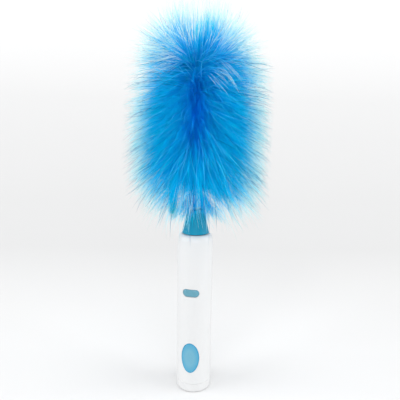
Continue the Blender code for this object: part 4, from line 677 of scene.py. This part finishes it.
def build_collar():
    """The collar: a cone with a small flare at its foot, a hexagonal socket and four ribs inside."""
    top_radius = 10.0 * MM
    wall = 1.6 * MM
    core_radius = 7.3 * MM
    rod_radius = 4.3 * MM
    rod_foot = COLLAR_TOP - 6.0 * MM
    core_foot = COLLAR_BASE + 1.5 * MM
    socket_top = HEX_TOP + 1.3 * MM
    hex_width = 9.0 * MM

    def cone(z):
        return COLLAR_RADIUS + (top_radius - COLLAR_RADIUS) * (z - COLLAR_BASE) / (COLLAR_TOP - COLLAR_BASE)

    hollow = socket_top - wall
    outline = [(0.0, rod_foot), (rod_radius, rod_foot), (rod_radius, COLLAR_TOP)]
    outline += [(top_radius - 0.6 * MM, COLLAR_TOP), (cone(COLLAR_TOP - 0.6 * MM), COLLAR_TOP - 0.6 * MM)]
    outline += [(cone(COLLAR_BASE + 1.3 * MM) + 0.02 * MM, COLLAR_BASE + 1.3 * MM)]
    outline += [(cone(COLLAR_BASE + 1.1 * MM) + 0.12 * MM, COLLAR_BASE + 1.05 * MM)]
    outline += [(COLLAR_RADIUS, COLLAR_BASE + 0.4 * MM), (COLLAR_RADIUS - 0.35 * MM, COLLAR_BASE)]
    outline += [(COLLAR_RADIUS - wall, COLLAR_BASE), (cone(hollow) - wall, hollow), (core_radius, hollow)]
    outline += [(core_radius, core_foot), (0.0, core_foot)]
    collar = mesh_piece("collar_cone", turned(outline, 96), TEAL)
    corner = hex_width / math.sqrt(3) + GAP
    hexagon = [(corner * math.cos(TURN * k / 6), corner * math.sin(TURN * k / 6)) for k in range(6)]
    carve(collar, "DIFFERENCE", prism(hexagon, COLLAR_BASE - 3.0 * MM, socket_top))
    inner = 6.5 * MM
    low = COLLAR_BASE + 3.2 * MM
    high = hollow + 0.5 * MM
    section = [(inner, low), (cone(low) - wall / 2, low), (cone(hollow) - wall / 2, high), (inner, high)]
    ribs = []
    for index in range(4):
        rib = prism(section, -0.7 * MM, 0.7 * MM)
        rib.transform(Matrix.Rotation(math.pi / 2, 4, "X"))
        rib.transform(Matrix.Rotation(math.pi * (2 * index + 1) / 4, 4, "Z"))
        ribs.append(rib)
    carve(collar, "UNION", *ribs)
    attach(collar, "head")
    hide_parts("head_collar")


# Camera


def camera_place():
    """The camera's place and turn."""
    place = TO_CAMERA * CAMERA_DISTANCE
    place.z = CAMERA_HEIGHT
    turn = Matrix.Rotation(CAMERA_AZIMUTH - CAMERA_YAW, 4, "Z")
    turn @= Matrix.Rotation(math.pi / 2 - CAMERA_PITCH, 4, "X")
    turn @= Matrix.Rotation(CAMERA_ROLL, 4, "Z")
    return Matrix.Translation(place) @ turn


def build_camera():
    """A camera with the photograph's frame."""
    camera = link(bpy.data.objects.new("camera", bpy.data.cameras.new("camera")))
    camera.data.sensor_width = SENSOR_WIDTH
    camera.data.lens = SENSOR_WIDTH * FOCAL_SHARE
    camera.data.clip_start = 0.01
    camera.matrix_world = camera_place()
    bpy.context.scene.camera = camera


def seen_at(column, row, ahead):
    """The point that the photograph shows at a pixel, this far in front of the duster's axis."""
    matrix = camera_place()
    half = PICTURE_SIZE / 2
    place = Vector(((column - half) / PICTURE_SIZE, (half - row) / PICTURE_SIZE, -FOCAL_SHARE))
    ray = matrix.to_3x3() @ place
    travel = (ahead - matrix.translation.dot(TO_CAMERA)) / ray.dot(TO_CAMERA)
    return np.array(matrix.translation + ray * travel)


# Fibre head


def unit(vectors):
    """The vectors at length 1."""
    return vectors / np.linalg.norm(vectors, axis=-1, keepdims=True)


def around(radius, azimuth, height):
    """Points at a radius, an angle round Z and a height."""
    return np.stack([radius * np.cos(azimuth), radius * np.sin(azimuth), height], axis=-1)


def head_profile(outline):
    """Radii and heights of an outline, with the share of the fibres below each."""
    widest, middle, reach_up, reach_down, above, below, lowest, highest, _ = outline
    angle = np.linspace(lowest, highest, 300)
    power = np.where(angle > 0, above, below)
    radii = widest * np.abs(np.cos(angle)) ** power
    reach = np.where(angle > 0, reach_up, reach_down)
    heights = middle + np.sign(angle) * np.abs(np.sin(angle)) ** power * reach
    steps = np.hypot(np.diff(radii), np.diff(heights)) * (0.3 + 0.7 * radii[1:] / widest)
    travel = np.concatenate([[0.0], np.cumsum(steps)])
    return radii, heights, travel / travel[-1]


def head_surface(outline, share, azimuth):
    """Points where full-length fibres end. The head leans a little to one side or the other by height."""
    radii, heights, travel = head_profile(outline)
    radius = np.interp(share, travel, radii)
    height = np.interp(share, travel, heights)
    lean = np.interp(height, LEAN_HEIGHTS, outline[-1])
    across = radius * np.cos(azimuth) + lean * math.cos(CAMERA_AZIMUTH)
    along = radius * np.sin(azimuth) + lean * math.sin(CAMERA_AZIMUTH)
    return np.stack([across, along, height], axis=-1)


def from_front(azimuth):
    """Angle round the head from the photographed side."""
    return (azimuth - FRONT + math.pi) % TURN - math.pi


def core_shade(tips):
    """How far each tip lies in the painted shade of the deep blue middle on the photographed side, from 0 to
    1.
    """
    away = from_front(np.arctan2(tips[:, 1], tips[:, 0]))
    level = (tips[:, 2] - CORE_SHADE_MIDDLE) / CORE_SHADE_REACH
    return np.exp(-((away / CORE_SHADE_ANGLE) ** 2) - level**4)


def front_shade(tips):
    """How far the strands with these tips keep their darker root colour, from 0 to 1, as painted shade.

    Those on the photographed side do. The rule is fixed to the head.
    """
    away = from_front(np.arctan2(tips[:, 1], tips[:, 0]))
    fade = np.clip((FRONT_SHADE_TOP - tips[:, 2]) / FRONT_SHADE_TOP_FADE, 0.0, 1.0)
    fade *= np.clip((tips[:, 2] - FRONT_SHADE_BASE) / FRONT_SHADE_BASE_FADE, 0.0, 1.0)
    return np.exp(-((away / FRONT_SHADE_ANGLE) ** 4)) * FRONT_SHADE_SHARE * fade


def on_curve(curves, share):
    """Points of cubic curves (n, 4, 3) at shares (n, k)."""
    rest = 1.0 - share
    weights = np.stack([rest**3, 3 * rest**2 * share, 3 * rest * share**2, share**3], axis=-1)
    return np.einsum("nkc,ncd->nkd", weights, curves)


def held_in(paths):
    """Shortens each strand that would reach further out than the head may."""
    reach = np.linalg.norm(paths[..., :2], axis=-1).max(axis=1)
    keep = np.minimum(1.0, REACH_LIMIT / reach)
    root = paths[:, :1]
    return root + (paths - root) * keep[:, None, None]


def bent(height, azimuth, ends, tips, length, chance):
    """Cubic curves that leave the sleeve outwards and bend towards their tips."""
    count = len(height)
    crown = np.clip((height - SLEEVE_TOP + CROWN_DEPTH) / CROWN_FADE, 0.0, 1.0)
    height = np.where(height > SLEEVE_TOP - MM, SLEEVE_TOP - chance.uniform(1.0, 26.0, count) * MM, height)
    height = np.maximum(height, SLEEVE_BASE + chance.uniform(1.0, 14.0, count) * MM)
    roots = around(SLEEVE_RADIUS, azimuth, height)
    tips = roots + (tips - roots) * length[:, None]
    reach = np.linalg.norm(tips - roots, axis=1)
    out = around(1.0, azimuth, 0.1 + 1.3 * crown)
    ahead = unit(tips - roots)
    first = roots + unit(unit(out) * 0.8 + ahead * 0.2) * (reach * 0.34)[:, None]
    lift = around(1.0, ends, np.full(count, 0.45))
    second = roots + (tips - roots) * 0.66 + lift * (reach * 0.09)[:, None]
    second += chance.normal(0.0, 1.0, (count, 3)) * (reach * 0.05)[:, None]
    return np.stack([roots, first, second, tips], axis=1)


def guide_curves(outline, share, azimuth, length, chance):
    """Guide curves from the sleeve to an outline of the head, parted a little in front."""
    count = len(share)
    away = from_front(azimuth)
    swing = np.sign(away) * PARTING * np.exp(-np.abs(away) / PARTING_WIDTH)
    swing *= np.clip((0.7 - share) / 0.2, 0.0, 1.0)
    ends = azimuth + swing + chance.normal(0.0, SPLAY, count)
    tips = head_surface(outline, share, ends)
    tips[:, 2] += chance.normal(0.0, 5.0 * MM, count)
    height = ROOT_MIDDLE + ROOT_SLOPE * (tips[:, 2] - HEAD_MIDDLE) + chance.normal(0.0, 7.0 * MM, count)
    return bent(height, azimuth, ends, tips, length, chance)


def lock_strands(curves, per_lock, spread, gather, lengths, chance):
    """Paths of the fibres of each lock: they fan out from the root and gather again at the tip."""
    locks = len(curves)
    which = np.repeat(np.arange(locks), per_lock)
    count = len(which)
    ends = chance.uniform(lengths[0], lengths[1], count) ** 0.8
    share = np.linspace(0.0, 1.0, STRAND_RINGS)[None, :] * ends[:, None]
    centre = on_curve(curves[which], np.clip(share, 0.0, 1.0))
    tail = curves[which][:, 3] - curves[which][:, 2]
    over = np.clip(share - 1.0, 0.0, 1.0)
    centre = centre + unit(tail)[:, None, :] * (over * RUN_ON)[..., None]
    ahead = unit(curves[:, 3] - curves[:, 0])[which]
    side = unit(np.cross(ahead, np.array([0.05, 0.02, 1.0])))
    other = np.cross(ahead, side)
    turn = chance.uniform(0.0, TURN, count)
    reach = np.sqrt(chance.uniform(0.0, 1.0, count)) * spread[which]
    fan = share**0.85 * (1.0 - gather[which][:, None] * np.clip((share - 0.5) / 0.5, 0.0, 1.2) ** 1.4)
    stray = 1.0 + 2.2 * (chance.uniform(0.0, 1.0, count) > 0.8)
    drift_a = chance.normal(0.0, DRIFT, count) * stray
    drift_b = chance.normal(0.0, DRIFT, count) * stray
    wave = chance.uniform(0.0, TURN, count)
    sway = SWAY * share * np.sin(share * 6.0 + wave[:, None])
    a = (np.cos(turn) * reach)[:, None] * fan + drift_a[:, None] * share**2.5 + sway
    b = (np.sin(turn) * reach)[:, None] * fan + drift_b[:, None] * share**2.5 - sway
    return centre + a[..., None] * side[:, None, :] + b[..., None] * other[:, None, :], which


def fibres_of(curves, per_lock, spread, gather, lengths, chance):
    """Fibres round each guide curve, with their tints."""
    count = len(curves)
    spreads = chance.uniform(*spread, count) * MM
    gathers = chance.uniform(*gather, count)
    paths, which = lock_strands(curves, per_lock, spreads, gathers, lengths, chance)
    tint = 0.35 + 0.5 * (chance.uniform(0.2, 0.8, count)[which] + chance.normal(0.0, 0.14, len(which)))
    paths = held_in(paths)
    # Painted shade: tints fall towards the deep blue in the middle of the photographed side.
    return paths, np.clip(tint * (1.0 - 0.9 * core_shade(paths[:, -1])), 0.02, 0.98)


def pick_shares(count, chance, thinning):
    """Shares from the lowest fibre to the highest, with fewer where the thinning says so."""
    pool = chance.uniform(0.0, 1.0, count * 6)
    keep = np.interp(pool, *thinning)
    return pool[chance.uniform(0.0, 1.0, len(pool)) < keep][:count]


def locks_of(outline, thinning, count, per_lock, spread, gather, reach, lengths, chance, shy=0.0):
    """Locks of fibres with a tint for each fibre. A shy kind keeps away from the front.

    Ranges: the locks' spread in mm, how far they gather, their reach, and the fibres' lengths in a lock.
    """
    share = pick_shares(count, chance, thinning)
    azimuth = chance.uniform(0.0, TURN, count)
    away = from_front(azimuth)
    moved = (np.abs(away) < SHY_ANGLE) & (chance.uniform(0.0, 1.0, count) < shy)
    azimuth = np.where(moved, azimuth + np.sign(away) * SHY_TURN, azimuth)
    curves = guide_curves(outline, share, azimuth, chance.uniform(*reach, count), chance)
    return fibres_of(curves, per_lock, spread, gather, lengths, chance)


def facing_fibres(count, chance):
    """Fibres that point at the viewer and cover the sleeve, each bent its own way."""
    share = chance.uniform(0.0, 1.0, count)
    azimuth = chance.normal(0.0, math.radians(26.0), count) - math.pi / 2 + CAMERA_AZIMUTH
    curves = guide_curves(BODY, share, azimuth, chance.uniform(0.45, 0.98, count), chance)
    curves[:, 2] += chance.normal(0.0, 6.0 * MM, (count, 3))
    curves[:, 3] += chance.normal(0.0, 7.0 * MM, (count, 3))
    return fibres_of(curves, 3, (2.0, 5.0), (0.0, 0.4), (0.8, 1.0), chance)


def tufts(places, per_lock, spread, gather, chance):
    """Locks whose tips are given as (root row, tip column, tip row, mm in front of the axis)."""
    tips = np.array([seen_at(column, row, ahead * MM) for _, column, row, ahead in places])
    height = np.array([seen_at(PICTURE_SIZE / 2, root, 0.0)[2] for root, _, _, _ in places])
    azimuth = np.arctan2(tips[:, 1], tips[:, 0])
    curves = bent(height, azimuth, azimuth, tips, np.ones(len(places)), chance)
    return fibres_of(curves, per_lock, spread, gather, (0.8, 1.02), chance)


def skirt_fibres(count, lowest, highest, chance):
    """Fibres that hang from the foot of the sleeve over the top of the collar."""
    azimuth = chance.uniform(0.0, TURN, count)
    ends = azimuth + chance.normal(0.0, 0.35, count)
    reach = chance.uniform(13.0, 38.0, count) * MM
    fall = chance.uniform(lowest, highest, count) * MM
    base = SLEEVE_BASE + chance.uniform(0.5, 16.0, count) * MM
    roots = around(SLEEVE_RADIUS, azimuth, base)
    tips = around(reach, ends, fall)
    out = around(1.0, azimuth, np.zeros(count)) * 2.0 * MM
    first = roots + (tips - roots) * 0.35 + out
    second = roots + (tips - roots) * 0.7 + out
    curves = np.stack([roots, first, second, tips], axis=1)
    share = np.linspace(0.0, 1.0, SKIRT_RINGS)
    return on_curve(curves, np.broadcast_to(share, (count, SKIRT_RINGS)))


def strand_faces(rings):
    """Triangles of one strand with this many rings, the last of which is its tip."""
    faces = []
    for ring in range(rings - 2):
        for corner in range(3):
            after = (corner + 1) % 3
            low = ring * 3
            high = low + 3
            faces.append([low + corner, low + after, high + after])
            faces.append([low + corner, high + after, high + corner])
    last = (rings - 2) * 3
    for corner in range(3):
        faces.append([last + corner, last + (corner + 1) % 3, last + 3])
    return np.array(faces)


def strand_corners(paths, width):
    """Corners of three-sided strands along the paths (n, k, 3), drawn out to a point."""
    count, rings, _ = paths.shape
    ahead = unit(np.gradient(paths, axis=1))
    side = unit(np.cross(ahead, np.array([0.31, 0.23, 0.92])))
    other = np.cross(ahead, side)
    taper = np.linspace(0.0, 1.0, rings)
    radius = width[:, None] / 2 * (1.0 - 0.72 * taper[None, :] ** 1.5)
    points = []
    for corner in range(3):
        turn = TURN * corner / 3
        spoke = math.cos(turn) * side + math.sin(turn) * other
        points.append(paths[:, :-1] + spoke[:, :-1] * radius[:, :-1, None])
    body = np.stack(points, axis=2).reshape(count, (rings - 1) * 3, 3)
    return np.concatenate([body, paths[:, -1:]], axis=1)


def strand_mesh(name, paths, width, tint, finish, paint_front_shade=True):
    """One mesh of strands. Its map holds the place along the strand (u) and the strand's tint (v)."""
    corners = strand_corners(paths, width)
    count, per, _ = corners.shape
    rings = paths.shape[1]
    every = (strand_faces(rings)[None] + (np.arange(count) * per)[:, None, None]).reshape(-1, 3)
    mesh = bpy.data.meshes.new(name)
    mesh.vertices.add(count * per)
    mesh.vertices.foreach_set("co", corners.astype(np.float32).ravel())
    mesh.loops.add(every.size)
    mesh.loops.foreach_set("vertex_index", every.astype(np.int32).ravel())
    mesh.polygons.add(len(every))
    mesh.polygons.foreach_set("loop_start", np.arange(0, every.size, 3, dtype=np.int32))
    mesh.polygons.foreach_set("loop_total", np.full(len(every), 3, dtype=np.int32))
    along = np.minimum(np.arange(per) // 3, rings - 1) / (rings - 1)
    sideways = np.array([(index % 3) - 1.0 for index in range(per)]) * MAP_WIDTH
    sideways[-1] = 0.0
    # Painted shade: strands on the photographed side keep their darker root colour further along their
    # length.
    plain = front_shade(paths[:, -1]) if paint_front_shade else np.zeros(count)
    u = along[None, :] * (1.0 - plain[:, None])
    v = tint[:, None] + sideways[None, :]
    uv = np.stack([u, v], axis=-1).reshape(-1, 2)[every.ravel()]
    layer = mesh.uv_layers.new(name="OFBake")
    layer.uv.foreach_set("vector", np.clip(uv, 0.001, 0.999).astype(np.float32).ravel())
    mesh.materials.append(finish)
    mesh.update(calc_edges=True)
    return link(bpy.data.objects.new(name, mesh))


def settle(piece):
    """A piece of the fibre head stands for all the rings of strands."""
    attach(piece, "head")
    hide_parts(*[f"fibre_ring_{index}" for index in range(1, 9)])


def strand_pieces(name, groups, widths, scale, finish, chance):
    """Strands of several groups, shuffled and shared out over pieces of moderate size."""
    paths = np.concatenate([group[0] for group in groups])
    tint = np.concatenate([group[1] for group in groups])
    width = chance.uniform(*widths, len(paths)) * MM / math.sqrt(scale)
    order = chance.permutation(len(paths))
    for index, start in enumerate(range(0, len(paths), STRANDS_PER_PIECE), 1):
        chosen = order[start : start + STRANDS_PER_PIECE]
        settle(strand_mesh(f"{name}_{index}", paths[chosen], width[chosen], tint[chosen], finish))


def build_body(scale, chance):
    """The dense saturated body, the fibres that face the viewer, and the solid and hanging tufts."""
    kinds = [
        (560, int(80 * scale), (9.0, 14.0), (0.0, 0.45), (0.9, 1.04), (0.66, 1.08)),
        (int(14000 * scale), 2, (1.0, 3.0), (0.1, 0.5), (0.7, 1.06), (0.8, 1.0)),
        (int(8000 * scale), 2, (1.0, 4.0), (0.0, 0.5), (0.3, 0.62), (0.8, 1.0)),
    ]
    groups = [locks_of(BODY, EVEN, *kind, chance) for kind in kinds]
    groups.append(facing_fibres(int(3600 * scale), chance))
    groups.append(tufts(SOLID_TUFTS, int(280 * scale), (6.0, 9.0), (0.5, 0.9), chance))
    groups.append(tufts(HANGING_TUFTS, int(900 * scale), (8.0, 10.0), (0.85, 1.0), chance))
    strand_pieces("fibres", groups, (0.1, 0.17), scale, FIBRE_BLUE, chance)


def build_fringe(scale, chance):
    """The paler fringe, which reaches further: broad locks, wisps and fine strokes."""
    kinds = [
        (150, int(30 * scale), (4.0, 8.0), (0.5, 1.0), (0.84, 0.96), (0.7, 1.05)),
        (700, int(12 * scale), (2.0, 5.0), (0.0, 0.6), (0.88, 1.03), (0.85, 1.05)),
        (int(1500 * scale), 6, (0.3, 0.8), (0.0, 0.6), (0.88, 1.05), (0.85, 1.05)),
    ]
    groups = [locks_of(WHOLE, SPARSE_TOP, *kind, chance, 0.3) for kind in kinds]
    strand_pieces("fringe", groups, (0.07, 0.12), scale, FIBRE_FRINGE, chance)


def build_loose_fibres(chance):
    """Single fibres that stand out of the fringe: plain ones, pale ones as painted highlights, and dark
    ones.
    """
    kinds = [
        ("guard_fibres", 1700, (0.88, 1.04), (0.35, 0.6), FIBRE_FRINGE, 0.5, SPARSE_TOP),
        ("glint_fibres", 3300, (0.86, 1.06), (0.45, 0.85), FIBRE_GLINT, 0.6, SPARSE_FOOT),
        ("teal_fibres", 620, (0.92, 1.07), (0.42, 0.72), FIBRE_TEAL, 0.9, SPARSE_TOP),
    ]
    for name, count, reach, widths, finish, shy, thinning in kinds:
        kind = (count, 1, (0.3, 1.0), (0.0, 0.6), reach, (0.85, 1.04))
        paths, tint = locks_of(WHOLE, thinning, *kind, chance, shy)
        settle(strand_mesh(name, paths, chance.uniform(*widths, len(paths)) * MM, tint, finish))


def build_placed_fibres(chance):
    """Tufts of white strands as painted highlights, and single dark hairs, placed after those of the
    photograph.
    """
    paths, tint = tufts(GLINT_TUFTS, 20, (9.0, 14.0), (0.0, 0.2), chance)
    widths = chance.uniform(0.32, 0.55, len(paths)) * MM
    settle(strand_mesh("glint_tuft_fibres", paths, widths, tint, FIBRE_GLINT, paint_front_shade=False))
    for name, places, width in (("lone_hairs", HAIRS, 0.6), ("low_hairs", LOW_HAIRS, 0.95)):
        paths, tint = tufts(places, 1, (0.0, 0.1), (0.0, 0.1), chance)
        settle(strand_mesh(name, paths, np.full(len(paths), width * MM), tint, FIBRE_TEAL))


def build_skirt(chance):
    """Pale strands as painted highlights, and blue fibres, over the top of the collar."""
    kinds = [
        ("skirt_glint_fibres", 36, 199.0, 214.0, FIBRE_GLINT),
        ("skirt_blue_fibres", 480, 204.0, 221.0, FIBRE_BLUE),
    ]
    for name, count, lowest, highest, finish in kinds:
        paths = skirt_fibres(count, lowest, highest, chance)
        widths = chance.uniform(0.24, 0.42, count) * MM
        settle(strand_mesh(name, paths, widths, chance.uniform(0.1, 0.9, count), finish, paint_front_shade=False))


def build_backing():
    """The sleeve that the fibres are rooted in."""
    profile = [(BACKING_BORE, SLEEVE_BASE), (SLEEVE_RADIUS, SLEEVE_BASE)]
    profile += [(SLEEVE_RADIUS, SLEEVE_TOP), (BACKING_BORE, SLEEVE_TOP)]
    settle(mesh_piece("fibre_backing", turned(profile, ROUND_STEPS), BACKING))


def build_head():
    """The whole fibre head. All its parts draw on one run of chance, so their order matters."""
    chance = np.random.default_rng(SEED)
    scale = 1.0
    build_body(scale, chance)
    build_fringe(scale, chance)
    build_loose_fibres(chance)
    build_placed_fibres(chance)
    build_skirt(chance)
    build_backing()


# Stage


def sweep_profile():
    """The paper from the side, as (y, z): level under the duster, then curving up far behind it."""
    profile = [(PAPER_FRONT + (PAPER_BEND - PAPER_FRONT) * step / 24, 0.0) for step in range(25)]
    for step in range(1, 49):
        turn = math.radians(84.0) * step / 48
        y = PAPER_BEND + BEND_RADIUS * math.sin(turn)
        profile.append((y, BEND_RADIUS - BEND_RADIUS * math.cos(turn)))
    return profile


def paper_finish():
    """Matt paper with painted light and shade: paler or darker along its length."""
    paint, tree = fresh_paint("painted_light_paper")
    painted_light = tree.nodes.new("ShaderNodeValToRGB")
    feed(tree, painted_light, {"Fac": map_axes(tree, "shade")[1]})
    while len(painted_light.color_ramp.elements) < len(PAPER_PAINTED_LIGHT):
        painted_light.color_ramp.elements.new(0.5)
    for element, (place, tone) in zip(painted_light.color_ramp.elements, PAPER_PAINTED_LIGHT):
        element.position = place
        element.color = (tone, tone, tone, 1.0)
    adjust(paint, {"Base Color": painted_light.outputs["Color"], "Roughness": 1.0, "Specular IOR Level": 0.0})
    return paint


def build_paper():
    """A wide sweep of pale paper, turned to face the camera."""
    profile = sweep_profile()
    travel = [0.0]
    for before, after in zip(profile, profile[1:]):
        travel.append(travel[-1] + math.dist(before, after))
    shape = bmesh.new()
    layer = shape.loops.layers.uv.new("shade")
    rows = [[shape.verts.new((side * PAPER_HALF_WIDTH, y, z)) for side in (-1, 1)] for y, z in profile]
    for index in range(len(rows) - 1):
        face = shape.faces.new([rows[index][0], rows[index][1], rows[index + 1][1], rows[index + 1][0]])
        for loop, row in zip(face.loops, (index, index, index + 1, index + 1)):
            loop[layer].uv = (0.5, (travel[row] + PAPER_FRONT) / SHADE_LENGTH)
    mesh = bpy.data.meshes.new("sweep")
    shape.to_mesh(mesh)
    shape.free()
    mesh.shade_smooth()
    mesh.materials.append(paper_finish())
    sweep = link(bpy.data.objects.new("sweep", mesh))
    sweep.location.z = -PAPER_SINK
    sweep.rotation_euler.z = CAMERA_AZIMUTH


def add_light(name, bearing, elevation, strength, breadth):
    """A soft light at a bearing in degrees to the right of the camera, seen from the duster."""
    light = bpy.data.lights.new(name, "SUN")
    light.angle = math.radians(breadth)
    light.energy = strength
    lamp = link(bpy.data.objects.new(name, light))
    turn = CAMERA_AZIMUTH + math.radians(bearing)
    rise = math.radians(elevation)
    towards = Vector((math.sin(turn) * math.cos(rise), -math.cos(turn) * math.cos(rise), math.sin(rise)))
    lamp.location = towards
    lamp.rotation_euler = towards.to_track_quat("Z", "Y").to_euler()


def build_light():
    """A pale sky and soft lights. The light has to pass between many fibres, so it may bounce often."""
    scene = bpy.context.scene
    world = bpy.data.worlds.new("studio")
    world.use_nodes = True
    back = world.node_tree.nodes["Background"]
    back.inputs["Strength"].default_value = SKY_STRENGTH
    back.inputs["Color"].default_value = SKY_COLOUR
    scene.world = world
    scene.view_settings.view_transform = "Standard"
    scene.view_settings.look = "None"
    scene.cycles.max_bounces = BOUNCES
    scene.cycles.diffuse_bounces = DIFFUSE_BOUNCES
    for light in LIGHTS:
        add_light(*light)


build_camera()
for subpart in frame["record"]["subparts"]:
    if subpart["material_slot"] in FINISHES:
        piece = frame["nodes"][subpart["node"]]
        piece.data.materials.clear()
        piece.data.materials.append(FINISHES[subpart["material_slot"]])
build_shell("front_half", True)
build_shell("rear_half", False)
build_screws()
build_button()
build_badge()
build_cap()
build_collar()
build_head()
build_paper()
build_light()
